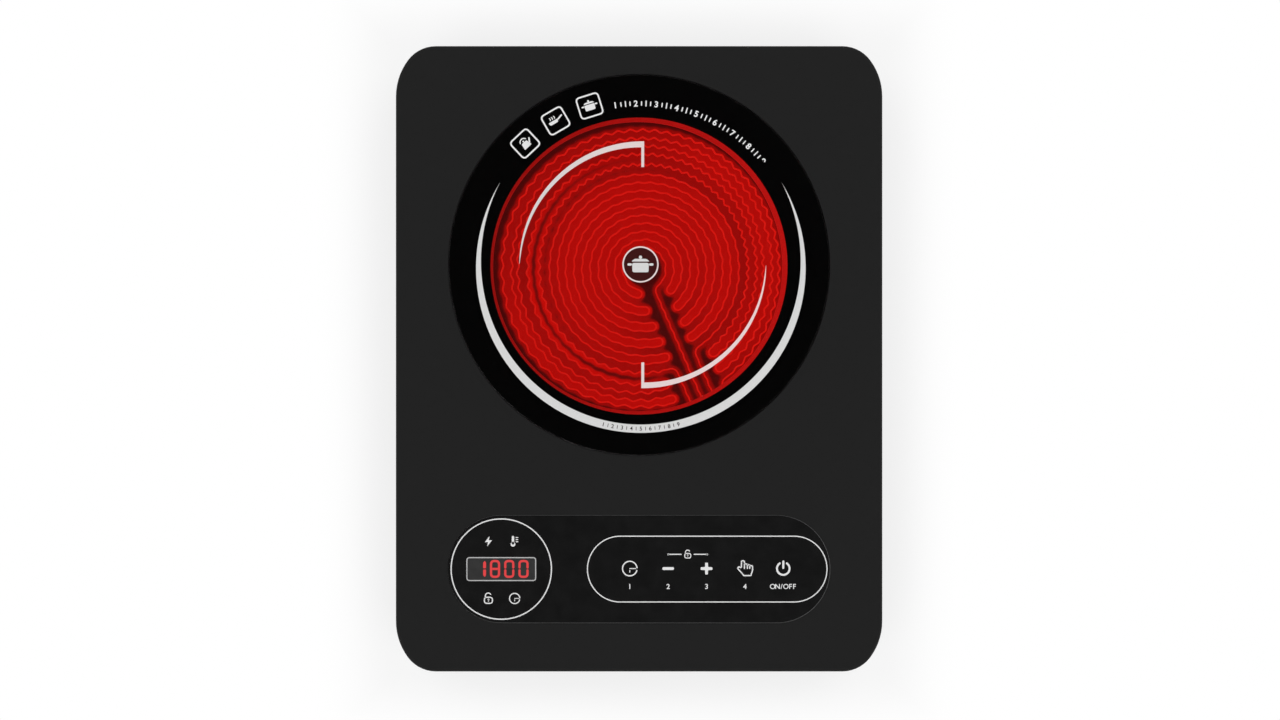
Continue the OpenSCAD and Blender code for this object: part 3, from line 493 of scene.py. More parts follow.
# A painted highlight: a pale grey band along the lens's edge, broadest at the right and in front.
PAINTED_EDGE_HIGHLIGHT = Finish("painted lens edge highlight", grey(0.11), 0.05, (0.4, 0.5), Pattern.CLOUD, 0.5, 0.0005, gloss=0.3)
WHITE_INK = Finish("white fired ink", grey(0.76), 0.02, (0.45, 0.6), Pattern.CLOUD, 0.3, 0.002)
CRESCENT_INK = replace(WHITE_INK, name="pale fired ink", tone=(0.655, 0.655, 0.65))
GREY_INK = replace(WHITE_INK, name="pale grey ink", tone=grey(0.45), change=0.03)
DARK_INK = Finish("dark fired ink", (0.012, 0.001, 0.001), 0.1, (0.5, 0.6), Pattern.CLOUD, 0.4, 0.001,
                  gloss=0.1)
# Painted light: the heater's red glow through the prints over it, given as emission; on the white ink it
# falls to none at the left edge as painted shade, on the dark ground it is even.
INK_WITH_PAINTED_GLOW = Glow("white ink with painted heater glow", (0.66, 0.625, 0.615), 0.02, (0.45, 0.6), Pattern.CLOUD, 0.3,
               0.002, light=(0.18, 0.004, 0.003), cooler_left=0.0)
DARK_INK_WITH_PAINTED_GLOW = replace(INK_WITH_PAINTED_GLOW, name="dark ink with painted heater glow", tone=(0.006, 0.003, 0.003), gloss=0.1,
                     light=(0.034, 0.0, 0.0), cooler_left=1.0)
WINDOW = Finish("display window", grey(0.026), 0.04, (0.3, 0.4), Pattern.CLOUD, 1.0, 0.0003, gloss=0.3)
LIT_DIGIT = Glow("lit red digit", (0.05, 0.004, 0.004), 0.05, (0.4, 0.5), Pattern.CLOUD, 0.4, 0.0005,
                 light=display(212, 50, 52))
HOT_RIBBON = Glow("glowing heating alloy", (0.05, 0.03, 0.025), 0.1, (0.5, 0.65), Pattern.BRUSHED, 0.05,
                  0.002, light=through_glass(208, 16, 8), spread=0.08, cooler_left=0.9)
# Painted glow: the ribbons' light on the insulation rim, given as emission, with painted shade falling to
# 0.56 of it at the left.
RIM_PAINTED_GLOW = Glow("insulation rim with painted glow", (0.05, 0.02, 0.015), 0.06, (0.9, 1.0), Pattern.FIBRE, 0.25, 0.02,
               light=through_glass(178, 14, 12), spread=0.10, cooler_left=0.56)
# Painted glow: the ribbons' light on the insulation bed, given as emission at four levels of its attribute.
BED_PAINTED_GLOW = HeatedFibre("insulation bed with painted glow", (0.05, 0.02, 0.015), 0.06, (0.9, 1.0), Pattern.FIBRE, 0.25,
                      0.02, levels=(0.0, 0.33, 0.66, 1.0),
                      glows=(through_glass(58, 3, 3), through_glass(98, 5, 4), through_glass(142, 6, 4),
                             through_glass(182, 8, 4)))
STEEL = Finish("zinc plated steel", (0.55, 0.55, 0.56), 0.08, (0.25, 0.4), Pattern.BRUSHED, 0.08, 0.002, 1.0)
ALUMINIUM = Finish("drawn aluminium", (0.75, 0.76, 0.78), 0.06, (0.3, 0.45), Pattern.BRUSHED, 0.1, 0.003, 1.0)
SPRING = Finish("gold plated spring", (0.75, 0.58, 0.28), 0.06, (0.2, 0.3), Pattern.CLOUD, 0.2, 0.001, 1.0)
COPPER = Finish("enamelled copper winding", (0.55, 0.22, 0.10), 0.2, (0.3, 0.45), Pattern.BRUSHED, 0.2,
                0.05, 1.0)
DISH = Finish("aluminised steel dish", (0.62, 0.63, 0.65), 0.08, (0.3, 0.5), Pattern.CLOUD, 1.5, 0.01, 1.0)
FERRITE = Finish("sintered ferrite", (0.03, 0.03, 0.032), 0.2, (0.6, 0.75), Pattern.GRAIN, 0.2, 0.01)
BOARD = Finish("green circuit board", (0.012, 0.10, 0.045), 0.15, (0.3, 0.45), Pattern.WEAVE, 0.25, 0.01)
SILICONE = Finish("grey silicone", grey(0.12), 0.08, (0.55, 0.7), Pattern.CLOUD, 0.8, 0.008)
TAPE = Finish("black foam tape", grey(0.02), 0.15, (0.8, 0.9), Pattern.GRAIN, 0.15, 0.02)
CLEAR_LAMP = Finish("clear lamp resin", (0.65, 0.66, 0.68), 0.05, (0.15, 0.25), Pattern.CLOUD, 0.4, 0.001)
RELAY_BLUE = Finish("blue relay case", (0.02, 0.07, 0.26), 0.08, (0.35, 0.45), Pattern.GRAIN, 0.3, 0.004)
FILM_YELLOW = Finish("yellow capacitor case", (0.62, 0.42, 0.03), 0.08, (0.35, 0.5), Pattern.GRAIN, 0.3,
                     0.004)
SLEEVE_BLUE = Finish("shrunk blue sleeve", (0.02, 0.025, 0.09), 0.1, (0.2, 0.35), Pattern.CLOUD, 0.5, 0.003)
TERMINAL = Finish("green terminal block", (0.02, 0.24, 0.07), 0.08, (0.35, 0.5), Pattern.GRAIN, 0.3, 0.004)
CERAMIC = Finish("steatite ceramic", (0.74, 0.70, 0.60), 0.05, (0.5, 0.65), Pattern.GRAIN, 0.25, 0.01)
WIRE_RED = Finish("red wire insulation", (0.40, 0.02, 0.02), 0.08, (0.35, 0.5), Pattern.CLOUD, 0.4, 0.003)
CABLE_GREY = Finish("grey ribbon cable", grey(0.42), 0.1, (0.4, 0.55), Pattern.BRUSHED, 0.3, 0.01)
SLEEVING = Finish("woven glass sleeving", (0.70, 0.68, 0.60), 0.15, (0.7, 0.85), Pattern.WEAVE, 0.35, 0.05)


# ---------------------------------------------------------------------------------------------
# Flat shapes
# ---------------------------------------------------------------------------------------------

def arc(centre: Point, radius: float, start: float, stop: float, step: float = 3.0) -> np.ndarray:
    """Points of a circle's arc: centre plus radius times the cosine and sine of an evenly stepped angle.

    Args:
        centre: the circle's centre.
        radius: its radius.
        start, stop: angles in degrees, anticlockwise from +X.
        step: widest angle between two points.

    Returns:
        The points, one row each.
    """
    angle = np.radians(np.linspace(start, stop, max(2, math.ceil(abs(stop - start) / step) + 1)))
    return np.array(centre) + radius * np.stack([np.cos(angle), np.sin(angle)], axis=1)


def spot(centre: Point, radius: float, degrees: float) -> np.ndarray:
    """The one point of a circle at an angle."""
    return arc(centre, radius, degrees, degrees)[0]


def circle(centre: Point, radius: float, step: float = 3.0) -> np.ndarray:
    """A whole circle, its last point left out because it is its first."""
    return arc(centre, radius, 0.0, 360.0, step)[:-1]


def rounded(corners: Sequence[Point], radius: float, closed: bool = True) -> np.ndarray:
    """A line through corners, each cut back by radius and bridged by a quadratic curve towards the corner.

    Args:
        corners: the sharp corners, in order.
        radius: how far before and after a corner the curve starts and ends, at most 45% of a side.
        closed: whether the last corner joins the first.

    Returns:
        The points, one row each.
    """
    at, longest = np.array(corners, float), 0.45
    ends = []
    for side in (np.roll(at, 1, axis=0) - at, np.roll(at, -1, axis=0) - at):
        length = np.linalg.norm(side, axis=1, keepdims=True)
        ends.append((at + side / length * np.minimum(radius, longest * length))[:, None])
    share = np.linspace(0, 1, 6)[None, :, None]
    curves = (1 - share) ** 2 * ends[0] + 2 * share * (1 - share) * at[:, None] + share**2 * ends[1]
    if closed:
        return curves.reshape(-1, 2)
    return np.concatenate([at[:1], curves[1:-1].reshape(-1, 2), at[-1:]])


def box_corners(centre: Point, width: float, height: float) -> list[Point]:
    """The corners of an upright rectangle, anticlockwise from the lower left.

    Args:
        centre: its middle.
        width, height: how long it is in X and Y.

    Returns:
        The four corners.
    """
    x, y = centre
    ways = ((-1, -1), (1, -1), (1, 1), (-1, 1))
    return [(x + side * width / 2, y + end * height / 2) for side, end in ways]


def soft_step(share: np.ndarray) -> np.ndarray:
    """A share held between 0 and 1 and eased at both ends: three of its square less two of its cube."""
    held = np.clip(share, 0, 1)
    return held * held * (3 - 2 * held)


def stadium(centre: Point, width: float, height: float) -> np.ndarray:
    """A long shape with half-round ends: a half circle at either end of a straight middle.

    Args:
        centre: its middle.
        width, height: how long it is in X and Y.

    Returns:
        Its outline, anticlockwise.
    """
    half = (width - height) / 2
    return np.concatenate([arc((centre[0] + half, centre[1]), height / 2, -90, 90),
                           arc((centre[0] - half, centre[1]), height / 2, 90, 270)])


def turned(points: np.ndarray, degrees: float, place: Point = (0.0, 0.0)) -> np.ndarray:
    """Turns points about the origin and then moves the origin to a place.

    Args:
        points: the points, one row each.
        degrees: how far they are turned, anticlockwise.
        place: where the origin goes.

    Returns:
        The points in their new place.
    """
    angle = math.radians(degrees)
    turn = np.array([[math.cos(angle), math.sin(angle)], [-math.sin(angle), math.cos(angle)]])
    return np.asarray(points, float) @ turn + np.array(place)


def stand(name: str, data: bpy.types.ID) -> bpy.types.Object:
    """Puts an object into the scene, at the origin.

    Args:
        name: its name.
        data: the mesh, type, camera or lamp that it shows.

    Returns:
        The new object.
    """
    made = bpy.data.objects.new(name, data)
    bpy.context.scene.collection.objects.link(made)
    return made


def lettering(words: str, height: float, weight: float) -> tuple[np.ndarray, np.ndarray]:
    """A plain number or switch word as flat triangles, centred on its own box.

    Args:
        words: the number or word.
        height: height of a capital, in mm.
        weight: how far the outline is grown, as a share of the type size.

    Returns:
        The points and the triangles.
    """
    capital = 0.69  # height of a capital in the built-in type, as a share of its size
    curve = bpy.data.curves.new("lettering", "FONT")
    curve.body, curve.offset, curve.fill_mode = words, weight, "FRONT"
    holder = stand("lettering", curve)
    bpy.context.view_layer.update()
    mesh = bpy.data.meshes.new_from_object(holder)
    sheet = bmesh.new()
    sheet.from_mesh(mesh)
    bmesh.ops.remove_doubles(sheet, verts=sheet.verts, dist=1e-4)
    bmesh.ops.triangulate(sheet, faces=sheet.faces)
    sheet.to_mesh(mesh)
    sheet.free()
    points = np.zeros(len(mesh.vertices) * 3)
    mesh.vertices.foreach_get("co", points)
    faces = np.zeros(len(mesh.polygons) * 3, dtype=np.int64)
    mesh.polygons.foreach_get("vertices", faces)
    bpy.data.objects.remove(holder)
    bpy.data.meshes.remove(mesh)
    bpy.data.curves.remove(curve)
    flat = points.reshape(-1, 3)[:, :2] * height / capital
    return flat - (flat.min(0) + flat.max(0)) / 2, faces.reshape(-1, 3)


def put(name: str, points: np.ndarray, faces: Sequence[np.ndarray]) -> bpy.types.Object:
    """Puts a mesh into the scene at the origin.

    Args:
        name: the piece's name.
        points: its vertices in mm, one row each.
        faces: arrays of faces, each array with one number of corners.

    Returns:
        The new object.
    """
    mesh = bpy.data.meshes.new(name)
    corners = np.concatenate([group.ravel() for group in faces]).astype(np.int32)
    counts = np.concatenate([np.full(len(group), group.shape[1]) for group in faces])
    mesh.vertices.add(len(points))
    mesh.vertices.foreach_set("co", (points * MM).ravel())
    mesh.loops.add(len(corners))
    mesh.loops.foreach_set("vertex_index", corners)
    mesh.polygons.add(len(counts))
    mesh.polygons.foreach_set("loop_start", (np.cumsum(counts) - counts).astype(np.int32))
    mesh.polygons.foreach_set("use_smooth", np.zeros(len(counts), bool))
    mesh.update(calc_edges=True)
    mesh.validate()
    return stand(name, mesh)


@dataclass
class Layer:
    """Flat shapes of one thickness: each is thickened between two levels into a closed solid.

    Attributes:
        bottom: level of the underside, in mm.
        top: level of the face.
        flats: the shapes so far, each its points and its faces seen from above.
    """

    bottom: float
    top: float
    flats: list[tuple[np.ndarray, np.ndarray]] = field(default_factory=list)

    def lay(self, points: np.ndarray, faces: np.ndarray) -> None:
        """Adds a flat shape, turned face up: reversed where its corners' cross products add up below 0.

        Args:
            points: its points, one row each.
            faces: its faces, which all turn the same way.
        """
        spots = points[faces]
        following = np.roll(spots, -1, axis=1)
        area = (spots[..., 0] * following[..., 1] - spots[..., 1] * following[..., 0]).sum()
        self.flats.append((points, faces if area > 0 else faces[:, ::-1]))

    def fill(self, outline: np.ndarray) -> None:
        """Adds a shape that fills a closed outline."""
        self.lay(outline, np.arange(len(outline))[None, :])

    def band(self, left: np.ndarray, right: np.ndarray, closed: bool = False) -> None:
        """Adds the strip between two lines, quad by quad.

        Args:
            left, right: the two lines, of as many points.
            closed: whether their ends join their starts.
        """
        count = len(left)
        here = np.arange(count if closed else count - 1)
        there = (here + 1) % count
        points = np.stack([left, right], axis=1).reshape(-1, 2)
        self.lay(points, np.stack([2 * here, 2 * here + 1, 2 * there + 1, 2 * there], axis=1))

    def stroke(self, path: np.ndarray, width: float, closed: bool = False, round_ends: bool = True) -> None:
        """Adds a line drawn with a pen.

        Each point of the path is moved half the width to either side, square to the mean direction of the two
        steps that meet there and lengthened by one over the cosine of half their turn. A round end adds rows
        whose distance and half width are the cosine and sine of an angle, times half the width.

        Args:
            path: the middle of the line.
            width: the pen's width.
            closed: whether the path's end joins its start.
            round_ends: whether the pen is round at the ends of an open path.
        """
        tiny, sharpest, rows = 1e-9, 0.5, 5
        step = np.roll(path, -1, axis=0) - path
        ahead = step / np.maximum(np.linalg.norm(step, axis=1, keepdims=True), tiny)
        behind = np.roll(ahead, 1, axis=0)
        if not closed:
            ahead[-1], behind[0] = behind[-1], ahead[0]
        along = ahead + behind
        along /= np.linalg.norm(along, axis=1, keepdims=True)
        half = width / 2 / np.maximum((along * ahead).sum(1), sharpest)
        if round_ends and not closed:
            angle = np.radians(np.linspace(12, 78, rows))[:, None]
            reach, narrow = width / 2 * np.cos(angle), width / 2 * np.sin(angle)
            path = np.concatenate([path[:1] - along[:1] * reach, path, path[-1:] + along[-1:] * reach[::-1]])
            along = np.concatenate([np.repeat(along[:1], rows, 0), along, np.repeat(along[-1:], rows, 0)])
            half = np.concatenate([narrow[:, 0], half, narrow[::-1, 0]])
        aside = np.stack([-along[:, 1], along[:, 0]], axis=1) * half[:, None]
        self.band(path + aside, path - aside, closed)

    def write(self, words: str, height: float, place: Point, degrees: float = 0.0,
              weight: float = 0.018) -> None:
        """Adds a number or word, centred on a place and turned."""
        points, faces = lettering(words, height, weight)
        self.lay(turned(points, degrees, place), faces)

    def tick(self, centre: Point, radius: float, half: float, degrees: float, width: float) -> None:
        """Adds a mark square to a circle at an angle, half its length to either side."""
        self.stroke(np.array([spot(centre, radius + reach, degrees) for reach in (-half, half)]), width)

    def count_up(self, centre: Point, radius: float, places: np.ndarray, upright: float, height: float,
                 weight: float) -> None:
        """Adds the numbers from 1 along a circle.

        Args:
            centre, radius: the circle.
            places: the angle of each number.
            upright: what is added to that angle to turn the number.
            height, weight: the type's.
        """
        for number, degrees in enumerate(places, 1):
            self.write(str(number), height, tuple(spot(centre, radius, degrees)), degrees + upright, weight)

    def piece(self, name: str, finish: Finish, slot: str) -> bpy.types.Object:
        """Thickens every shape and puts them in the scene as one dressed piece that rides on the housing.

        A shape's top is its faces at the top level, its underside the same reversed at the bottom level,
        and its walls stand on the edges that only one face has.

        Args:
            name: the piece's name.
            finish: what it wears.
            slot: the material slot of the record that it belongs to; not used.

        Returns:
            The piece.
        """
        points, faces, start = [], [], 0
        for flat, shape in self.flats:
            count = len(flat)
            points += [np.column_stack([flat, np.full(count, level)]) for level in (self.bottom, self.top)]
            first, second = shape.ravel(), np.roll(shape, -1, axis=1).ravel()
            lone = ~np.isin(first * count + second, second * count + first)
            first, second = first[lone], second[lone]
            walls = np.stack([first, second, second + count, first + count], axis=1)
            faces += [shape + start + count, shape[:, ::-1] + start, walls + start]
            start += 2 * count
        return settle(put(name, np.concatenate(points), faces), finish)


def settle(made: bpy.types.Object, finish: Finish) -> bpy.types.Object:
    """Gives a new piece its finish, rides it on the housing and reports it.

    Args:
        made: the piece.
        finish: what it wears.

    Returns:
        The piece.
    """
    made.data.materials.append(finish.material())
    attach(made, HOUSING)
    log.info("%s: %d faces in %s", made.name, len(made.data.polygons), finish.name)
    return made


def dress(frame: dict, finishes: dict[str, Finish]) -> None:
    """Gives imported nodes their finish.

    Args:
        frame: the loaded frame.
        finishes: the finish of each node, by name.
    """
    for name, finish in finishes.items():
        for slot in frame["nodes"][name].material_slots:
            slot.material = finish.material()
        log.info("%s wears %s", name, finish.name)


# ---------------------------------------------------------------------------------------------
# Pictograms
# ---------------------------------------------------------------------------------------------

class Cookware(Enum):
    """The three kinds of cookware that the glass's small signs show."""

    POT = "pot with two handles and a lid"
    PAN = "shallow pan with a long handle"
    KETTLE = "kettle with spout and bow handle"


@dataclass(frozen=True)
class Pictogram:
    """Draws small signs into a layer, each about a place, at a size and a turn.

    Attributes:
        layer: the print that it is drawn in.
        place: where the sign's own origin goes.
        degrees: how far it is turned.
        scale: how much it is enlarged.
    """

    layer: Layer
    place: Point
    degrees: float = 0.0
    scale: float = 1.0

    def moved(self, points: np.ndarray) -> np.ndarray:
        """Points of the sign brought to its place."""
        return turned(np.asarray(points, float) * self.scale, self.degrees, self.place)

    def line(self, path: Sequence[Point], width: float, closed: bool = False) -> None:
        """Draws a line of the sign."""
        self.layer.stroke(self.moved(path), width * self.scale, closed)

    def solid(self, outline: Sequence[Point]) -> None:
        """Fills an outline of the sign."""
        self.layer.fill(self.moved(outline))

    def clock(self, radius: float, pen: float) -> None:
        """A clock face, open on the right under its long hand, with a short hand down.

        Args:
            radius: radius of the face; the hands are in shares of it.
            pen: width of the face's line.
        """
        self.line(arc((0, 0), radius, 7, 345), pen)
        for hand in ([(0, 0), (0.82 * radius, 0)], [(0, -0.25 * radius), (0, -0.5 * radius)]):
            self.line(hand, 0.7 * pen)

    def minus(self, length: float, pen: float) -> None:
        """A short bar with round ends."""
        self.line([((pen - length) / 2, 0), ((length - pen) / 2, 0)], pen)

    def plus(self, length: float, pen: float) -> None:
        """A cross with rounded arms: one outline of twelve corners.

        Args:
            length: how long an arm is from end to end.
            pen: its width.
        """
        far, near = length / 2, pen / 2
        quarter = np.array([(near, near), (near, far), (-near, far)])
        self.solid(rounded(np.concatenate([turned(quarter, 90 * k) for k in range(4)]), 0.35 * pen))

    def power(self, radius: float, pen: float) -> None:
        """A ring open at the top with a bar standing in the gap."""
        self.line(arc((0, 0), radius, 124, 416), pen)
        self.line([(0, 0.1 * radius), (0, 1.12 * radius)], 1.1 * pen)

    def hand(self, pen: float) -> None:
        """The outline of a hand that points with its first finger, and the lines between its fingers.

        Args:
            pen: width of the lines.
        """
        outline = [(-2.0, 0.35), (-2.0, 4.5), (-0.27, 4.5), (-0.27, 2.7), (1.4, 2.6), (1.5, 2.2), (2.8, 2.1),
                   (3.0, 1.7), (4.4, 1.6), (4.4, -1.2), (3.6, -3.2), (3.6, -4.05), (-0.85, -4.05),
                   (-0.95, -3.5), (-4.3, 0.2), (-3.5, 1.1)]
        self.line(rounded(outline, 0.8), pen, closed=True)
        for x, top in ((-0.27, 2.7), (1.4, 2.2), (2.75, 1.8)):
            self.line([(x, top), (x, 0.1)], pen)

    def padlock(self, width: float, pen: float) -> None:
        """An open padlock: a rounded body with a keyhole, its bow hooked up and its right end free.

        Args:
            width: width of the body; the rest is in shares of it.
            pen: width of the lines.
        """
        body = rounded(box_corners((0, -0.2), 1 - pen / width, 0.66), 0.3)
        bow = np.concatenate([arc((-0.02, 0.27), 0.32, 35, 180, 12), [(-0.34, 0.13)]])
        self.line(body * width, pen, closed=True)
        self.line(bow * width, pen)
        self.solid(circle((0, -0.12 * width), 0.8 * pen, 20))
        self.line([(0, -0.12 * width), (0, -0.32 * width)], 0.6 * pen)

    def bolt(self) -> None:
        """A lightning bolt, for power."""
        self.solid([(0.5, 2.5), (-1.7, -0.4), (-0.2, -0.4), (-0.6, -2.5), (1.7, 0.5), (0.2, 0.5)])

    def thermometer(self, pen: float) -> None:
        """A thermometer, for heat: a tube with its bulb, and three marks beside it.

        Args:
            pen: what the widths of its lines are shares of.
        """
        self.line([(-0.8, 2.0), (-0.8, -1.0)], 1.5 * pen)
        self.solid(circle((-0.8, -1.4), 1.15, 15))
        for y in (1.8, 0.8, -0.2):
            self.line([(0.7, y), (1.5, y)], 0.6 * pen)

    def cookware(self, kind: Cookware, pen: float) -> None:
        """A pot, a pan or a kettle, seen from the side.

        Args:
            kind: which of them.
            pen: width of its handles.
        """
        if kind is Cookware.POT:
            self.solid(rounded([(-3, -2.6), (3, -2.6), (3.1, 0.9), (-3.1, 0.9)], 0.7))
            self.solid(rounded([(-3.4, 1.4), (3.4, 1.4), (2.2, 2.4), (-2.2, 2.4)], 0.4))
            self.solid(circle((0, 3.0), 0.6, 20))
            for side in (-1, 1):
                self.line([(side * 3.6, 0.3), (side * 4.4, 0.3)], pen)
        elif kind is Cookware.PAN:
            self.solid(rounded([(-3.9, -1.2), (1.1, -1.2), (1.7, 0.7), (-4.5, 0.7)], 0.7))
            self.line([(1.9, 0.3), (4.6, 1.3)], pen)
            for x in (-2.6, -1.2, 0.2):
                self.line([(x, 1.6), (x + 0.3, 2.3), (x, 3.0)], 0.6 * pen)
        else:
            self.solid(rounded([(-2.7, -2.8), (2.7, -2.8), (1.9, 1.0), (-1.9, 1.0)], 0.6))
            self.line([(2.4, -1.2), (3.9, 0.9)], pen)
            self.line(arc((0, 1.0), 2.3, 25, 155, 12), 0.75 * pen)
            self.solid(circle((0, 1.6), 0.55, 20))


# ---------------------------------------------------------------------------------------------
# Sub-assemblies
# ---------------------------------------------------------------------------------------------

@dataclass(frozen=True)
class Housing:
    """Top housing, base pan, feet and the fasteners that hold them."""

    def dress(self, frame: dict) -> None:
        """Dresses the housing's nodes."""
        feet = {f"foot_{end}_{side}": RUBBER for end in ("front", "rear") for side in ("left", "right")}
        dress(frame, {"top_housing": DECK, "base_pan": PAN, "foot_screws": STEEL, "housing_screws": STEEL,
                      "cord_gland": RUBBER, **feet})


@dataclass(frozen=True)
class GlassTop:
    """The glass disc with its enamel ring and white prints, and what holds it.

    Attributes:
        centre: middle of the disc.
        under, over: levels of its two faces.
        clear_r: radius of the clear window over the heater.
        enamel_r: outer radius of the enamel.
        print_h: thickness of a print.
        sink: how deep a print is fused into the glass.
        pen: width of the signs' frames.
        pan_mark: middle of the long crescent.
    """

    centre: Point
    under: float
    over: float
    clear_r: float = 85.5
    enamel_r: float = 108.9
    print_h: float = 0.03
    sink: float = 0.005
    pen: float = 0.92
    pan_mark: Point = (1.0, 52.2)

    def dress(self, frame: dict) -> None:
        """Dresses the glass, its seal and its temperature sensor."""
        dress(frame, {"glass_plate": TOP_GLASS, "glass_seal": SILICONE, "glass_sensor": CERAMIC})

    def on_glass(self) -> Layer:
        """An empty print on the glass."""
        return Layer(self.over - self.sink, self.over + self.print_h)

    def enamel(self) -> None:
        """The black ring fired to the underside: it hides all but the heater."""
        layer = Layer(self.under + 0.02, self.under + 0.05)
        middle = (self.centre[0] - 0.1, self.centre[1] - 0.6)
        layer.band(circle(middle, self.clear_r, 1.0), circle(self.centre, self.enamel_r, 1.0), closed=True)
        layer.piece("underglass_enamel", ENAMEL, "ceramic_glass")

    def crescent(self) -> None:
        """The long crescent round the front: thickest there, less the 3.2 power of the angle's share."""
        radius, reach, thickest, thinnest, power = 94.8, 121.0, 4.75, 0.05, 3.2
        angle = np.linspace(-reach, reach, 161)
        thick = np.maximum(thickest * (1 - (np.abs(angle) / reach) ** power), thinnest)
        way = np.radians(angle - 90)
        ray = np.stack([np.cos(way), np.sin(way)], axis=1)
        layer = self.on_glass()
        layer.band(self.pan_mark + radius * ray, self.pan_mark + (radius - thick)[:, None] * ray)
        layer.piece("large_pan_crescent", CRESCENT_INK, "ceramic_glass")

    def scale(self) -> None:
        """Fine dark marks and numbers on the crescent's thickest part."""
        radius, half, width, height, weight = 92.4, 0.85, 0.36, 2.2, 0.014
        layer = Layer(self.over + self.print_h - self.sink, self.over + 2 * self.print_h)
        layer.count_up(self.pan_mark, radius, np.linspace(-103.5, -76.5, 9), 90, height, weight)
        for degrees in np.linspace(-101.8, -78.2, 8):
            layer.tick(self.pan_mark, radius, half, degrees, width)
        layer.piece("crescent_scale", DARK_INK, "ceramic_glass")

    def quarter(self, layer: Layer, turn: float, thickest: float) -> None:
        """A quarter arc for small pans, with a bar inwards: it thins as the 0.6 power of what is left.

        Args:
            layer: the print that it is drawn in.
            turn: how far it is turned, in degrees.
            thickest: its thickness at the bar.
        """
        middle, radius, bar, bar_w, power = (2.1, 54.1), 71.0, 14.8, 1.65, 0.6
        angle = np.linspace(90.7, 179.6, 61)
        ray = np.stack([np.cos(np.radians(angle)), np.sin(np.radians(angle))], axis=1)
        thick = thickest * ((180 - angle) / 90) ** power
        upright = np.array([(-bar_w / 2, radius - bar), (bar_w / 2, radius - bar), (bar_w / 2, radius)])
        outline = np.concatenate([radius * ray[::-1], upright[::-1], ((radius - thick)[:, None] * ray)])
        layer.fill(turned(outline, turn, middle))

    def zone_marks(self) -> None:
        """The two quarter arcs over the heater, one the other's half turn, with the heater's glow painted
        through their ink.
        """
        layer = self.on_glass()
        for turn, thickest in ((0.0, 3.45), (180.0, 3.3)):
            self.quarter(layer, turn, thickest)
        layer.piece("small_pan_arcs", INK_WITH_PAINTED_GLOW, "ceramic_glass")

    def middle_sign(self) -> None:
        """The ringed sign in the middle: a dark ground and a white ring, both with the heater's glow painted
        through, and a white pot.
        """
        middle, ring_r, ring_w, enlarged, handles = (0.8, 54.3), 10.0, 0.84, 1.55, 0.9
        ground, ring, pot = Layer(self.over - self.sink, self.over + 0.01), self.on_glass(), self.on_glass()
        ground.fill(circle(middle, ring_r))
        ground.piece("middle_sign_ground", DARK_INK_WITH_PAINTED_GLOW, "ceramic_glass")
        ring.stroke(circle(middle, ring_r), ring_w, closed=True)
        ring.piece("middle_sign_ring", INK_WITH_PAINTED_GLOW, "ceramic_glass")
        Pictogram(pot, (middle[0], middle[1] - 0.5), scale=enlarged).cookware(Cookware.POT, handles)
        pot.piece("middle_sign", CRESCENT_INK, "ceramic_glass")

    def cookware_signs(self) -> None:
        """Three framed signs along the rim: a kettle, a pan and a pot."""
        layer, radius, width, height, corner, handles = self.on_glass(), 95.8, 13.0, 12.4, 2.2, 0.9
        for kind, degrees in ((Cookware.KETTLE, 133.2), (Cookware.PAN, 120.1), (Cookware.POT, 107.3)):
            place = tuple(spot(self.centre, radius, degrees))
            border = rounded(box_corners((0, 0), width, height), corner)
            layer.stroke(turned(border, degrees - 90, place), self.pen, closed=True)
            Pictogram(layer, place, degrees - 90, 0.98).cookware(kind, handles)
        layer.piece("cookware_signs", WHITE_INK, "ceramic_glass")

    def rim_scale(self) -> None:
        """Numbers 1 to 9 along the rim, with three marks between them, the middle one longer."""
        layer, radius, width, places = self.on_glass(), 92.9, 0.72, np.linspace(98.5, 40.0, 9)
        layer.count_up(self.centre, radius, places, -90, height=3.3, weight=0.03)
        for left, right in zip(places[:-1], places[1:]):
            for share, half in ((0.28, 1.0), (0.5, 1.4), (0.72, 1.0)):
                layer.tick(self.centre, radius, half, left + (right - left) * share, width)
        layer.piece("rim_scale", WHITE_INK, "ceramic_glass")

    def build(self) -> None:
        """Builds the enamel and every print."""
        for make in (self.enamel, self.crescent, self.scale, self.zone_marks, self.middle_sign,
                     self.cookware_signs, self.rim_scale):
            make()


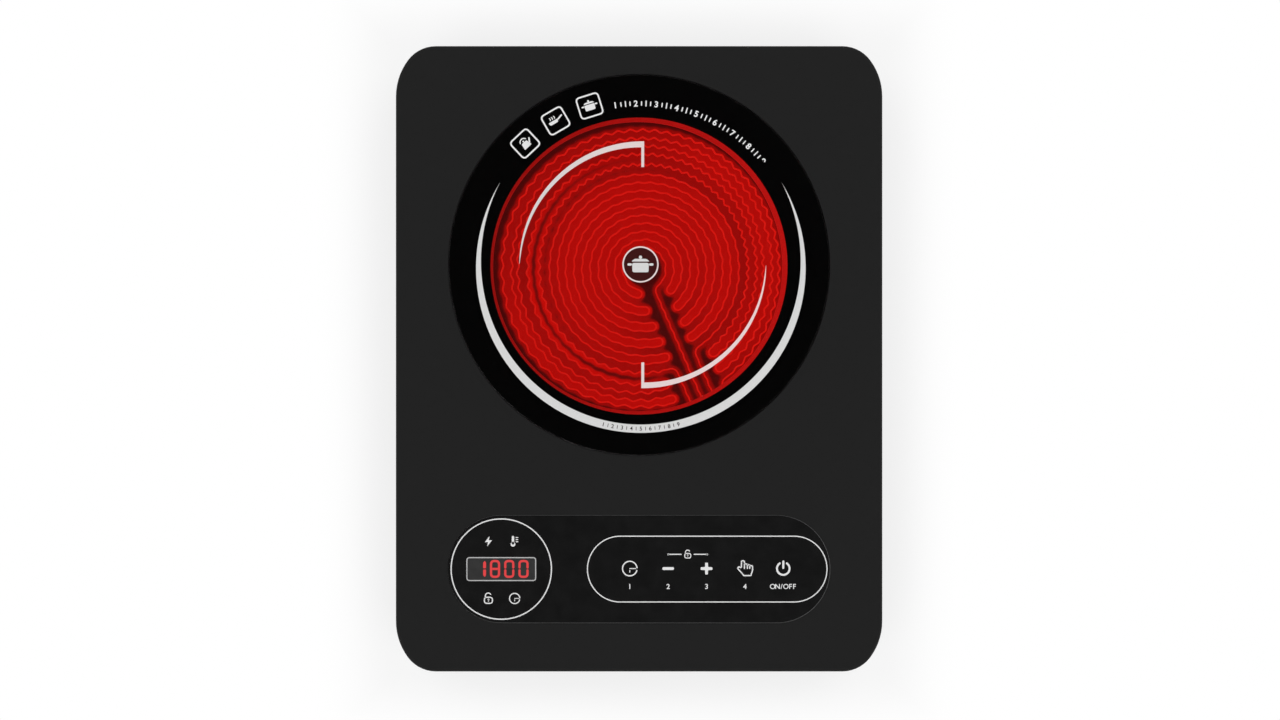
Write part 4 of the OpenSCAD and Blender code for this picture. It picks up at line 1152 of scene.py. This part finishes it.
@dataclass(frozen=True)
class ControlPanel:
    """The touch panel's lens, its prints and lit digits, and the boards behind it.

    Attributes:
        middle: the lens's middle.
        face: level of its face.
        sink: how deep a print is pressed into it.
        print_h: thickness of a print.
        key_first, key_pitch: place of the first key across the panel, and the distance between keys.
        pen: width of the icons' lines.
        display_x: middle of the display across the panel.
    """

    middle: Point
    face: float
    sink: float = 0.005
    print_h: float = 0.02
    key_first: float = -5.35
    key_pitch: float = 22.08
    pen: float = 0.7
    display_x: float = -79.3

    def dress(self, frame: dict) -> None:
        """Dresses the lens and everything behind it."""
        springs = {f"touch_spring_{key}": SPRING for key in range(1, 6)}
        dress(frame, {"panel_lens": LENS, "panel_tape": TAPE, "control_board": BOARD,
                      "display_module": BLACK_PART, "indicator_lamps": CLEAR_LAMP, "buzzer": BLACK_PART,
                      "control_board_screws": STEEL, "flat_cable": CABLE_GREY, **springs})

    def on_lens(self) -> Layer:
        """An empty print on the lens."""
        return Layer(self.face - self.sink, self.face + self.print_h)

    def edge_line(self) -> None:
        """A painted highlight along the lens's edge: a pale band, broadest at the right and in front."""
        length, width, band_w = 220.0, 62.0, 0.13
        layer = Layer(self.face - 0.3, self.face - 0.01)
        x, y = self.middle
        # the inner outline is moved left and up, so the painted highlight is broadest at the right and in
        # front
        inside = stadium((x - 0.10, y + 0.02), length - 2 * band_w, width - 2 * band_w)
        layer.band(inside, stadium(self.middle, length, width), closed=True)
        layer.piece("lens_edge_painted_highlight", PAINTED_EDGE_HIGHLIGHT, "lens_glass")

    def borders(self) -> None:
        """The circle round the display and the long loop round the keys."""
        layer = self.on_lens()
        layer.stroke(circle((self.display_x, self.middle[1]), 28.86, 2.0), 0.66, closed=True)
        layer.stroke(stadium((39.2, self.middle[1]), 137.85, 37.85), 0.58, closed=True)
        layer.piece("panel_borders", WHITE_INK, "lens_glass")

    def keys(self) -> None:
        """The five key icons with their numbers, and the lock bracket over two of them."""
        layer, icon_y, label_y, label_h, lock_x, lock_y = self.on_lens(), -120.7, -131.0, 2.8, 28.0, -112.5
        spots = [self.key_first + self.key_pitch * key for key in range(5)]
        timer, less, more, lock, switch = (Pictogram(layer, (x, icon_y)) for x in spots)
        timer.clock(4.18, self.pen)
        less.minus(6.75, 1.65)
        more.plus(6.75, 1.65)
        lock.hand(self.pen)
        switch.power(3.62, 1.1)
        for number, x in enumerate(spots[:4], 1):
            layer.write(str(number), label_h, (x, label_y))
        for place, letter in zip((-6.15, -3.3, -0.95, 1.5, 4.2, 6.45), "ON/OFF"):
            layer.write(letter, label_h, (spots[4] + place, label_y), weight=0.012)
        Pictogram(layer, (lock_x, lock_y)).padlock(4.05, 0.54)
        for start, stop in ((16.8, 24.2), (39.2, 31.7)):
            layer.stroke(np.array([(start, lock_y), (stop, lock_y)]), 0.6)
            layer.fill(circle((start, lock_y), 0.55, 20))
        layer.piece("key_icons", WHITE_INK, "lens_glass")

    def display_signs(self) -> None:
        """The four small signs round the display: power, heat, lock and timer."""
        layer, left, right, above, below, enlarged = self.on_lens(), -86.7, -71.6, -105.0, -137.9, 1.2
        Pictogram(layer, (left, above), scale=enlarged).bolt()
        Pictogram(layer, (right, above), scale=enlarged).thermometer(0.8)
        Pictogram(layer, (left, below)).padlock(5.3, 0.64)
        Pictogram(layer, (right, below)).clock(2.95, 0.6)
        layer.piece("display_signs", WHITE_INK, "lens_glass")

    def window(self) -> None:
        """The grey display window and its thin border."""
        edge = rounded(box_corners((self.display_x, self.middle[1]), 39.56, 13.16), 1.6)
        ground, border = Layer(self.face - self.sink, self.face + 0.01), self.on_lens()
        ground.fill(edge)
        ground.piece("display_window", WINDOW, "lens_glass")
        border.stroke(edge, 0.6, closed=True)
        border.piece("display_border", GREY_INK, "lens_glass")

    def digits(self) -> None:
        """The lit number 1800 in rounded segments: a one, an eight, and two noughts open at their sides."""
        layer, y, pen, corner = self.on_lens(), -120.9, 1.3, 1.9
        one_x, eight_x, nought_xs = -88.9, -82.9, (-74.7, -66.5)
        half_w, half_h, gap, inset = 2.3, 4.55, 0.85, 0.7
        upright = [(-0.85, 0.35), (0.85, 0.35), (0.85, 3.6), (0.1, 4.7), (-0.85, 3.6)]
        for split in (-1, 1):
            layer.fill(rounded(np.array(upright) * (1, split), 0.5) + (one_x, y))
        layer.stroke(rounded(box_corners((eight_x, y), 2 * half_w, 2 * half_h), corner), pen, closed=True)
        bar = [(eight_x - half_w + inset, y), (eight_x + half_w - inset, y)]
        layer.stroke(np.array(bar), pen, round_ends=False)
        half = [(-half_w, gap), (-half_w, half_h), (half_w, half_h), (half_w, gap)]
        for x in nought_xs:
            for split in (-1, 1):
                layer.stroke(rounded(np.array(half) * (1, split) + (x, y), corner, closed=False), pen)
        layer.piece("lit_digits", LIT_DIGIT, "lens_glass")

    def build(self) -> None:
        """Builds the painted edge highlight, every print of the panel and the lit digits."""
        for make in (self.edge_line, self.borders, self.keys, self.display_signs, self.window, self.digits):
            make()


@dataclass(frozen=True)
class Zone:
    """One zone of the heater: rings of one ribbon about one middle, joined by hairpins beside the channel.

    Attributes:
        first, last: its first and last ring.
        leads: which of the heater's leads it starts and ends in.
        first_r, pitch: radius of the first ring, and the distance from each ring to the next.
        shift: how far its middle lies along the channel and across it.
        ends: where the hairpins stand across the channel, left of it and right of it.
        wave: how far the corrugations swing.
        swing: how unevenly they are spaced, in radians.
        waves: corrugations in a full turn; 0 where that follows from their length.
        wave_length: that length.
    """

    first: int
    last: int
    leads: tuple[int, int]
    first_r: float
    pitch: float
    shift: Point
    ends: tuple[float, float]
    wave: float
    swing: float
    waves: int = 0
    wave_length: float = 7.8


@dataclass(frozen=True)
class Heater:
    """The two ribbon zones on their insulation, in a frame that runs along the channel of the leads.

    In that frame u runs along the channel from the middle to the rim and v across it, to the right. Rings are
    counted from 1 in the middle.

    Attributes:
        centre: the heater's middle.
        bed: level of the insulation's face.
        foot: level of its underside.
        bed_r: its radius.
        channel: the channel's direction, in degrees.
        sunk, tall, thick: how deep a ribbon stands in the bed, its height and its thickness.
        inner, outer: the two zones.
        drifts: how far each outer ring is laid outside its circle, and how much further on its right.
        crowded: the angle round which the corrugations crowd.
        lead_v: place of each lead across the channel.
        lead_end: where the leads end along it.
        bend_r: radius of the bend between a lead and its ring.
        wave_points: points along one corrugation.
        trims: a gap between rings, and how much its painted light and shade change right of the channel and
            left of it.
        cooler_way: the way in which the outer zone's painted glow gets dimmer.
    """

    centre: Point
    bed: float
    foot: float
    bed_r: float
    channel: float = -66.5
    sunk: float = 1.5
    tall: float = 5.0
    thick: float = 0.85
    inner: Zone = Zone(1, 10, (1, 2), 12.4, 4.7, (3.2, 1.8), (-7.3, 11.2), 0.32, 2.0)
    outer: Zone = Zone(11, 15, (0, 3), 60.3, 4.9, (2.1, 0.0), (-13.4, 19.0), 0.68, 12.0, waves=62)
    drifts: tuple[tuple[float, float], ...] = ((-0.1, 1.7), (0.9, 0.8), (0.8, 0.0), (0.2, 0.7), (0.0, 0.0))
    crowded: float = 111.5
    lead_v: tuple[float, ...] = (-4.3, 2.6, 9.5, 16.4)
    lead_end: float = 86.5
    bend_r: float = 4.0
    wave_points: int = 12
    trims: tuple[tuple[int, float, float], ...] = (
        (9, 0.0, -0.2), (10, -0.45, -0.3), (11, -0.25, 0.45), (12, 0.0, -0.3))
    cooler_way: Point = (-0.96, -0.28)

    def dress(self, frame: dict) -> None:
        """Dresses the heater's nodes."""
        steel = ("terminal_tabs", "terminal_screws", "heater_bracket", "left_heater_spring",
                 "right_heater_spring", "bracket_screws")
        # the insulation rim and base wear painted glow: the ribbons' light given as emission
        dress(frame, {"heater_dish": DISH, "insulation_base": RIM_PAINTED_GLOW, "insulation_ring": RIM_PAINTED_GLOW,
                      "inner_zone_ribbon": HOT_RIBBON, "outer_zone_ribbon": HOT_RIBBON,
                      "terminal_block": CERAMIC, "heater_leads": SLEEVING, "thermal_cutout": BLACK_PART,
                      **dict.fromkeys(steel, STEEL)})

    def zone(self, ring: int) -> Zone:
        """The zone that a ring belongs to."""
        return self.inner if ring <= self.inner.last else self.outer

    def ring_r(self, ring: int) -> float:
        """A ring's radius: its zone's first, and one pitch more for each ring after that."""
        zone = self.zone(ring)
        return zone.first_r + (ring - zone.first) * zone.pitch

    def waves(self, ring: int) -> int:
        """Corrugations in a full turn of a ring."""
        zone = self.zone(ring)
        return zone.waves or round(2 * math.pi * self.ring_r(ring) / zone.wave_length)

    def corrugation(self, ring: int, degrees: np.ndarray) -> np.ndarray:
        """How far a ring's line swings out: a sine less a sixteenth of the sine of three times its angle.

        The waves are bent by hand, so they crowd on one side: the phase swings by the sine of the angle.

        Args:
            ring: the ring.
            degrees: angles round it.

        Returns:
            The swing at each angle, in mm.
        """
        zone, start, straighten = self.zone(ring), 45, 16
        phase = np.radians(degrees * self.waves(ring) + start)
        phase = phase + zone.swing * np.sin(np.radians(degrees - self.crowded))
        return zone.wave * (np.sin(phase) - np.sin(3 * phase) / straighten)

    def radius(self, ring: int, degrees: np.ndarray) -> np.ndarray:
        """A ring's radius at each angle, before its corrugation.

        An outer ring is laid outside its circle by its drift: the first value, and the second times the
        cosine of the angle from the right. The first outer ring comes back to its circle at its lead, and the
        three middle ones stand out a little more on the left of the channel, eased at both ends.

        Args:
            ring: the ring.
            degrees: angles round it.

        Returns:
            The radius at each angle, in mm.
        """
        circle_r = np.full_like(degrees, self.ring_r(ring))
        if ring <= self.inner.last:
            return circle_r
        outward, aside = self.drifts[ring - self.outer.first]
        drift = outward + aside * np.cos(np.radians(degrees + self.channel))
        if ring == self.outer.first:
            home, over = 350, 25
            return circle_r + drift * soft_step((home - degrees) / over)
        if ring < self.outer.last:
            stands, rise, rise_over, fall, fall_over = 0.9, 280, 50, 349, 9
            stands = stands * soft_step((degrees - rise) / rise_over)
            drift += stands * soft_step((fall - degrees) / fall_over)
        return circle_r + drift

    def turn_angle(self, ring: int, leftward: bool) -> float:
        """Direction in which a ring joins the next, where the pair ends beside the channel.

        Args:
            ring: the inner ring of the pair.
            leftward: whether they join left of the channel.

        Returns:
            The angle whose sine is the hairpin's distance across, over the mean of the two rings' radii.
        """
        zone = self.zone(ring)
        across = zone.ends[0 if leftward else 1] - zone.shift[1]
        angle = math.degrees(math.asin(across / (self.ring_r(ring) + self.ring_r(ring + 1)) * 2))
        return 360 + angle if leftward else angle

    def ring(self, ring: int, start: float, stop: float) -> np.ndarray:
        """A ring between two angles, its corrugation fading out over the last wave at each end.

        Args:
            ring: the ring.
            start, stop: the angles, in degrees.

        Returns:
            Its points: the radius times the cosine and sine of the angle.
        """
        count = math.ceil(abs(stop - start) / 360 * self.waves(ring) * self.wave_points)
        step = np.arange(count + 1)
        degrees = start + (stop - start) * step / count
        fade = np.clip(np.minimum(step, count - step) / self.wave_points, 0, 1)
        radius = self.radius(ring, degrees) + fade * self.corrugation(ring, degrees)
        way = np.radians(degrees)
        return np.stack([radius * np.cos(way), radius * np.sin(way)], axis=1)

    def turn(self, ring: int, leftward: bool) -> np.ndarray:
        """The half circle from a ring to the next, bulging towards the channel.

        Args:
            ring: the inner ring of the pair.
            leftward: whether they join left of the channel.

        Returns:
            Its points.
        """
        angle, step = self.turn_angle(ring, leftward), 15
        near, far = (float(self.radius(at, np.array(angle))) for at in (ring, ring + 1))
        start, stop = (180 - (way if leftward else -way) for way in (step, 180 - step))
        return turned(arc(((near + far) / 2, 0), (far - near) / 2, start, stop, step), angle)

    def coil(self, zone: Zone, leftward: bool, start: float, stop: float) -> np.ndarray:
        """A zone's rings there and back, each joined to the next beside the channel.

        Args:
            zone: the zone.
            leftward: whether its first ring runs anticlockwise.
            start, stop: angles at which the first ring starts and the last stops.

        Returns:
            The points of every ring and hairpin, in order.
        """
        parts, angle = [], start
        for ring in range(zone.first, zone.last):
            following = self.turn_angle(ring, leftward)
            parts += [self.ring(ring, angle, following), self.turn(ring, leftward)]
            angle, leftward = following, not leftward
        return np.concatenate([*parts, self.ring(zone.last, angle, stop)])

    def bend(self, ring: int, lead: int) -> tuple[np.ndarray, float]:
        """The bend that brings a lead into a ring from inside the channel: it touches both.

        Args:
            ring: the ring.
            lead: which lead, from 0.

        Returns:
            The bend's centre, and the direction in which that lies.
        """
        aside = math.copysign(self.bend_r, self.lead_v[lead])
        across = self.lead_v[lead] - self.zone(ring).shift[1] + aside
        centre = np.array([math.sqrt((self.ring_r(ring) + self.bend_r) ** 2 - across**2), across])
        return centre, math.degrees(math.atan2(centre[1], centre[0]))

    def lead(self, ring: int, lead: int) -> np.ndarray:
        """A lead from the rim along the channel and round its bend, waving a little on the way.

        Args:
            ring: the ring that it runs into.
            lead: which lead, from 0.

        Returns:
            Its points, from the rim on.
        """
        step, wave, wave_length, fade_over, straight = 0.6, 0.22, 6.5, 6, 4
        side = math.copysign(1, self.lead_v[lead])
        centre, angle = self.bend(ring, lead)
        shift = self.zone(ring).shift
        along = np.arange(self.lead_end - shift[0], centre[0], -step)
        fade = (np.clip((along - centre[0]) / fade_over, 0, 1)
                * np.clip((self.lead_end - straight - along) / fade_over, 0, 1))
        across = self.lead_v[lead] - shift[1] + wave * fade * np.sin(2 * np.pi * along / wave_length)
        bent = arc(tuple(centre), self.bend_r, -90 * side, angle - 180 * side, 10)
        return np.concatenate([np.stack([along, across], axis=1), bent])

    def line(self, zone: Zone, leftward: bool, before: float, after: float) -> tuple[np.ndarray, np.ndarray]:
        """A zone's whole line, lead to lead.

        Args:
            zone: the zone.
            leftward: whether its first ring runs anticlockwise.
            before, after: how far past their bends the first ring starts and the last stops, in degrees.

        Returns:
            The whole line, and its rings without the leads.
        """
        ends = tuple(zip((zone.first, zone.last), zone.leads))
        start, stop = (self.bend(*end)[1] for end in ends)
        coil = self.coil(zone, leftward, before + start, stop + after)
        first, last = (self.lead(*end) for end in ends)
        return np.concatenate([first, coil, last[::-1]]) + zone.shift, coil + zone.shift

    def inner_line(self) -> tuple[np.ndarray, np.ndarray]:
        """The inner zone's line and its rings alone, between the two middle leads."""
        return self.line(self.inner, leftward=True, before=2, after=1)

    def outer_line(self) -> tuple[np.ndarray, np.ndarray]:
        """The outer zone's line and its rings alone, between the two outer leads."""
        return self.line(self.outer, leftward=False, before=360 - 1, after=1)

    def ribbon(self, line: np.ndarray, node: str) -> None:
        """A strip standing on edge along a line.

        Args:
            line: the line, in the channel's frame.
            node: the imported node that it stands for.
        """
        layer = Layer(self.bed - self.sunk, self.bed - self.sunk + self.tall)
        layer.stroke(turned(line, self.channel, self.centre), self.thick, round_ends=False)
        made = layer.piece(node.replace("_ribbon", "_corrugated_ribbon"), HOT_RIBBON, "heating_alloy")
        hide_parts(node)

    def warmth(self, lines: Sequence[np.ndarray], points: np.ndarray) -> np.ndarray:
        """Light that the ribbons shed on the bed, to be painted on it: their length in each small cell,
        blurred by a bell curve.

        The light at a point is a mean of the four cells round it, each weighted by how near it is.

        Args:
            lines: the ribbons' lines.
            points: where the light is wanted.

        Returns:
            The light at each point; evenly spaced rings give about 1.
        """
        cell, half, spread = 0.5, 100.0, 1.75
        count = round(2 * half / cell)
        cells = np.zeros((count, count))
        for line in lines:
            length = np.concatenate([[0], np.cumsum(np.linalg.norm(np.diff(line, axis=0), axis=1))])
            even = np.arange(0, length[-1], cell / 2)
            spots = np.stack([np.interp(even, length, line[:, axis]) for axis in (0, 1)], axis=1)
            index = ((spots + half) / cell).astype(int)
            np.add.at(cells, (index[:, 0], index[:, 1]), cell / 2)
        wave = np.fft.fftfreq(count, cell)
        bell = np.exp(-2 * (np.pi * spread) ** 2 * (wave[:, None] ** 2 + wave[None, :] ** 2))
        blurred = np.fft.ifft2(np.fft.fft2(cells) * bell).real / cell**2 * self.inner.pitch
        at = (points + half) / cell - 0.5
        low = np.clip(at.astype(int), 0, count - 2)
        (x, y), (across, up) = low.T, (at - low).T
        rows = [blurred[x + i, y] * (1 - up) + blurred[x + i, y + 1] * up for i in (0, 1)]
        return rows[0] * (1 - across) + rows[1] * across

    def between(self, points: np.ndarray) -> np.ndarray:
        """Which gap between rings a point lies in: 0 inside the first, and one more for each ring passed.

        Args:
            points: the points, in the channel's frame.

        Returns:
            The number of each point's gap.
        """
        gap = np.zeros(len(points), int)
        for ring in range(self.inner.first, self.outer.last + 1):
            x, y = (points - self.zone(ring).shift).T
            degrees = np.degrees(np.arctan2(y, x)) % 360
            gap += np.hypot(x, y) > self.radius(ring, degrees) + self.corrugation(ring, degrees)
        return gap

    def contrast(self, points: np.ndarray) -> np.ndarray:
        """How much brighter or darker than even the bed's painted glow is at a point: painted light and
        shade.

        A point inside a hairpin gets painted light and one between two hairpins painted shade. That is full
        beside the channel and fades by the seventh power of the angle from the far side. The edge outside the
        last ring and the middle right of the channel get painted shade, the trims change single gaps, and the
        outer zone's painted glow is a little dimmer at the back left.

        Args:
            points: the points, in the channel's frame.

        Returns:
            The contrast at each point, 0 where it is even.
        """
        inside, outside, everywhere, edge, heart, fading = 0.25, -0.75, 0.06, -0.5, -0.45, 7
        # how far and where the outer zone's painted glow is dimmed towards the back left
        far_from, far_over, dimming, dim_from, dim_over = 60, 120, 0.3, 10, 50
        gap, v = self.between(points), points[:, 1]
        inner = gap <= self.inner.last
        side = 1 - np.abs(np.degrees(np.arctan2(v, points[:, 0]))) / 180
        leftward = np.where(inner, gap % 2 == 1, gap % 2 == 0)
        held = np.where(v < 0, leftward, ~leftward)
        contrast = np.where(held, inside, outside) * side**fading - np.where(held, 0, everywhere)
        contrast = np.select([gap == self.inner.last, gap == self.outer.last, (gap == 0) & (v > 0)],
                             [0.0, edge, heart], contrast)
        far = soft_step((far_from - v) / far_over)
        for number, near_side, far_side in self.trims:
            contrast += np.where(gap == number, near_side + (far_side - near_side) * far, 0.0)
        back = soft_step((points @ np.array(self.cooler_way) - dim_from) / dim_over)
        return contrast - np.where(inner, 0.0, dimming) * back

    def heat(self, points: np.ndarray) -> np.ndarray:
        """The glow painted on the bed: the light that the coils shed, raised and lowered by the painted light
        and shade.

        A lone lead lights the channel less than the coils light their bed.

        Args:
            points: where the glow is wanted, in the channel's frame.

        Returns:
            The painted glow at each point, from 0 to 1.
        """
        dimmest, span, even, swing, lone = 0.22, 0.5, 0.86, 0.5, 0.6
        whole, coils = (soft_step((self.warmth(lines, points) - dimmest) / span)
                        for lines in zip(self.inner_line(), self.outer_line()))
        return np.clip(np.maximum(coils * (even + swing * self.contrast(points)), lone * whole), 0, 1)

    def glowing_bed(self) -> None:
        """The insulation as a closed disc with painted glow: a profile of radius and level carried round the
        middle.

        The profile runs over the face, fine enough to carry the painted glow at each point, down the edge and
        in along the underside, which is hollowed over the raised middle of the dish.
        """
        spokes, step, hollow_r, hollow = 576, 0.75, 43.6, 1.6
        face_r = np.append(np.arange(step, self.bed_r - 0.3, step), self.bed_r)
        radius = np.append(face_r, (self.bed_r, hollow_r, hollow_r))
        level = np.append(np.full(len(face_r), self.bed), (self.foot, self.foot, self.foot + hollow))
        angle = np.linspace(0, 2 * np.pi, spokes, endpoint=False)
        ring = np.stack([np.cos(angle), np.sin(angle)], axis=1)
        flat = np.concatenate([[(0.0, 0.0)], (radius[:, None, None] * ring).reshape(-1, 2), [(0.0, 0.0)]])
        levels = np.concatenate([[self.bed], np.repeat(level, spokes), [self.foot + hollow]])
        here = np.arange(spokes)
        there = (here + 1) % spokes
        start = 1 + spokes * np.arange(len(radius))[:, None]
        lower, upper = start[:-1], start[1:]
        quads = np.stack([lower + here, upper + here, upper + there, lower + there], axis=-1).reshape(-1, 4)
        cap = np.stack([np.zeros(spokes, int), 1 + here, 1 + there], axis=1)
        ceiling = np.stack([np.full(spokes, len(flat) - 1), start[-1] + there, start[-1] + here], axis=1)
        placed = np.column_stack([turned(flat, self.channel, self.centre), levels])
        made = put("insulation_bed_painted_glow", placed, [quads, cap, ceiling])
        # the ribbons' light painted on the bed as a glow level at each point; none on the edge and underside
        heat = self.heat(flat)
        heat[1 + spokes * len(face_r):] = 0
        values = made.data.attributes.new("bed_painted_glow", "FLOAT", "POINT").data
        values.foreach_set("value", heat.astype(np.float32))
        settle(made, BED_PAINTED_GLOW)
        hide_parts("insulation_base")

    def build(self) -> None:
        """Builds the ribbons and the bed with its painted glow."""
        self.ribbon(self.inner_line()[0], "inner_zone_ribbon")
        self.ribbon(self.outer_line()[0], "outer_zone_ribbon")
        self.glowing_bed()


@dataclass(frozen=True)
class Cooling:
    """The fan under the power board."""

    def dress(self, frame: dict) -> None:
        """Dresses the fan's nodes."""
        dress(frame, {"fan_frame": BLACK_PART, "fan_stator": COPPER, "fan_rotor": BLACK_PART,
                      "fan_magnet": FERRITE, "fan_screws": STEEL, "fan_lead": WIRE_RED})


@dataclass(frozen=True)
class Electronics:
    """The power board and what stands on it."""

    def dress(self, frame: dict) -> None:
        """Dresses the board's nodes."""
        dress(frame, {"power_board": BOARD, "relay_inner_zone": RELAY_BLUE, "relay_outer_zone": RELAY_BLUE,
                      "transformer": FERRITE, "film_capacitor": FILM_YELLOW, "triac_heatsink": ALUMINIUM,
                      "smoothing_capacitors": SLEEVE_BLUE, "triac": BLACK_PART, "fuse": CERAMIC,
                      "mains_terminal": TERMINAL, "power_board_screws": STEEL})


# ---------------------------------------------------------------------------------------------
# Studio
# ---------------------------------------------------------------------------------------------

@dataclass(frozen=True)
class Studio:
    """Camera, pale floor, soft lamps and a sky that is white at the horizon and dark overhead.

    Attributes:
        deck: level of the object's top, in metres.
        height: how far above it the camera hangs.
        seen: width of what the camera sees at that level.
        aim: the point it looks down on.
        lamp_far, lamp_elevation: how far from the origin each lamp hangs, and its elevation in degrees.
        lamp_size, lamp_watts: the side of a lamp and its power.
    """

    deck: float
    height: float = 3.0
    seen: float = 0.7365
    aim: Point = (0.00052, -0.00069)
    lamp_far: float = 5.0
    lamp_elevation: float = 55.0
    lamp_size: float = 2.4
    lamp_watts: float = 40.0

    def camera(self) -> None:
        """The camera straight overhead, with a long lens."""
        data = bpy.data.cameras.new("camera")
        data.sensor_width = 36.0
        data.lens = data.sensor_width * self.height / self.seen
        made = stand("camera", data)
        made.location = (*self.aim, self.deck + self.height)
        bpy.context.scene.camera = made

    def floor(self) -> None:
        """A wide pale disc that keeps a faint shadow beside the object and is plain white further out.

        The share of plain white runs from 0.72 at the object's own rectangle to 1 at 50 mm from it. The
        distance is the larger of how far a point lies outside the rectangle in X and in Y.
        """
        radius, faint, reach = 12.0, 0.72, 0.05
        low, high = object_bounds()
        rim = circle((0, 0), radius / MM, 3.0)
        made = put("floor", np.column_stack([rim, np.zeros(len(rim))]), [np.arange(len(rim))[None, :]])
        shader = Shader("pale floor")
        for name, value in (("Base Color", (0.93, 0.93, 0.93, 1)), ("Roughness", 0.9),
                            ("Specular IOR Level", 0.1)):
            shader.wear(name, value)
        axes = shader.axes()
        outside = [shader.math("SUBTRACT", shader.math("ABSOLUTE", axes[name]), (high[at] - low[at]) / 2)
                   for at, name in enumerate("XY")]
        away = shader.ranged(shader.math("MAXIMUM", *outside), faint, 1.0, (0.0, reach),
                             interpolation_type="SMOOTHSTEP")
        path = shader.node("ShaderNodeLightPath").outputs
        looks = path["Is Camera Ray"]
        for name in ("Is Glossy Ray", "Is Transmission Ray"):
            looks = shader.math("MAXIMUM", looks, path[name])
        white = shader.node("ShaderNodeEmission")
        white.inputs["Strength"].default_value = 1.0
        mix = shader.node("ShaderNodeMixShader")
        share = shader.math("MULTIPLY", looks, away)
        for output, socket in zip((share, shader.principled.outputs["BSDF"], white.outputs["Emission"]),
                                  mix.inputs):
            shader.link(output, socket)
        shader.link(mix.outputs["Shader"], shader.tree.nodes["Material Output"].inputs["Surface"])
        made.data.materials.append(shader.material)
        made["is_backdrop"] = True

    def lamps(self) -> None:
        """Four square lamps round the object, each facing its middle."""
        for turn in (45, 135, 225, 315):
            around, up = math.radians(turn), math.radians(self.lamp_elevation)
            data = bpy.data.lights.new(f"lamp_{turn}", "AREA")
            data.size, data.energy = self.lamp_size, self.lamp_watts
            made = stand(f"lamp_{turn}", data)
            made.location = [self.lamp_far * value for value in
                             (math.cos(around) * math.cos(up), math.sin(around) * math.cos(up), math.sin(up))]
            made.rotation_euler = (math.pi / 2 - up, 0, around + math.pi / 2)

    def sky(self) -> None:
        """A sky as bright as one less the squared sine of the elevation, never quite dark."""
        darkest, world = 0.02, bpy.data.worlds.new("studio sky")
        bpy.context.scene.world = world
        world.use_nodes = True
        sky, background = Nodes(world.node_tree), world.node_tree.nodes["Background"].inputs
        sine = sky.axes("Generated")["Z"]
        bright = sky.math("MAXIMUM", sky.math("SUBTRACT", 1.0, sky.math("MULTIPLY", sine, sine)), darkest)
        sky.feed(background["Strength"], bright)
        sky.feed(background["Color"], (1, 1, 1, 1))

    def build(self) -> None:
        """Sets up the whole studio."""
        self.camera()
        self.floor()
        self.lamps()
        self.sky()
        bpy.context.scene.view_settings.view_transform = "Standard"


def corners() -> list[list[float]]:
    """The whole object's lowest and highest corner, as plain numbers."""
    return [[float(value) for value in corner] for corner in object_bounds()]


def middle_of(node: str) -> Point:
    """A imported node's middle seen from above, in mm."""
    low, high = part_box(node)
    return (low.x + high.x) / 2 / MM, (low.y + high.y) / 2 / MM


def main() -> None:
    """Builds the studio and every sub-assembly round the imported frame."""
    logging.basicConfig(level=logging.INFO, format="%(message)s")
    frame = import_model()
    Studio(deck=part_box("top_housing")[1].z).build()
    glass, bed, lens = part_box("glass_plate"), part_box("insulation_base"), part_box("panel_lens")
    middle = middle_of("glass_plate")
    glass_top = GlassTop(middle, glass[0].z / MM, glass[1].z / MM)
    heater = Heater(middle, bed[1].z / MM, bed[0].z / MM, (bed[1].x - bed[0].x) / 2 / MM)
    panel = ControlPanel(middle_of("panel_lens"), lens[1].z / MM)
    for assembly in (Housing(), glass_top, panel, heater, Cooling(), Electronics()):
        assembly.dress(frame)
    for assembly in (glass_top, panel, heater):
        assembly.build()


if __name__ == "__main__":
    main()
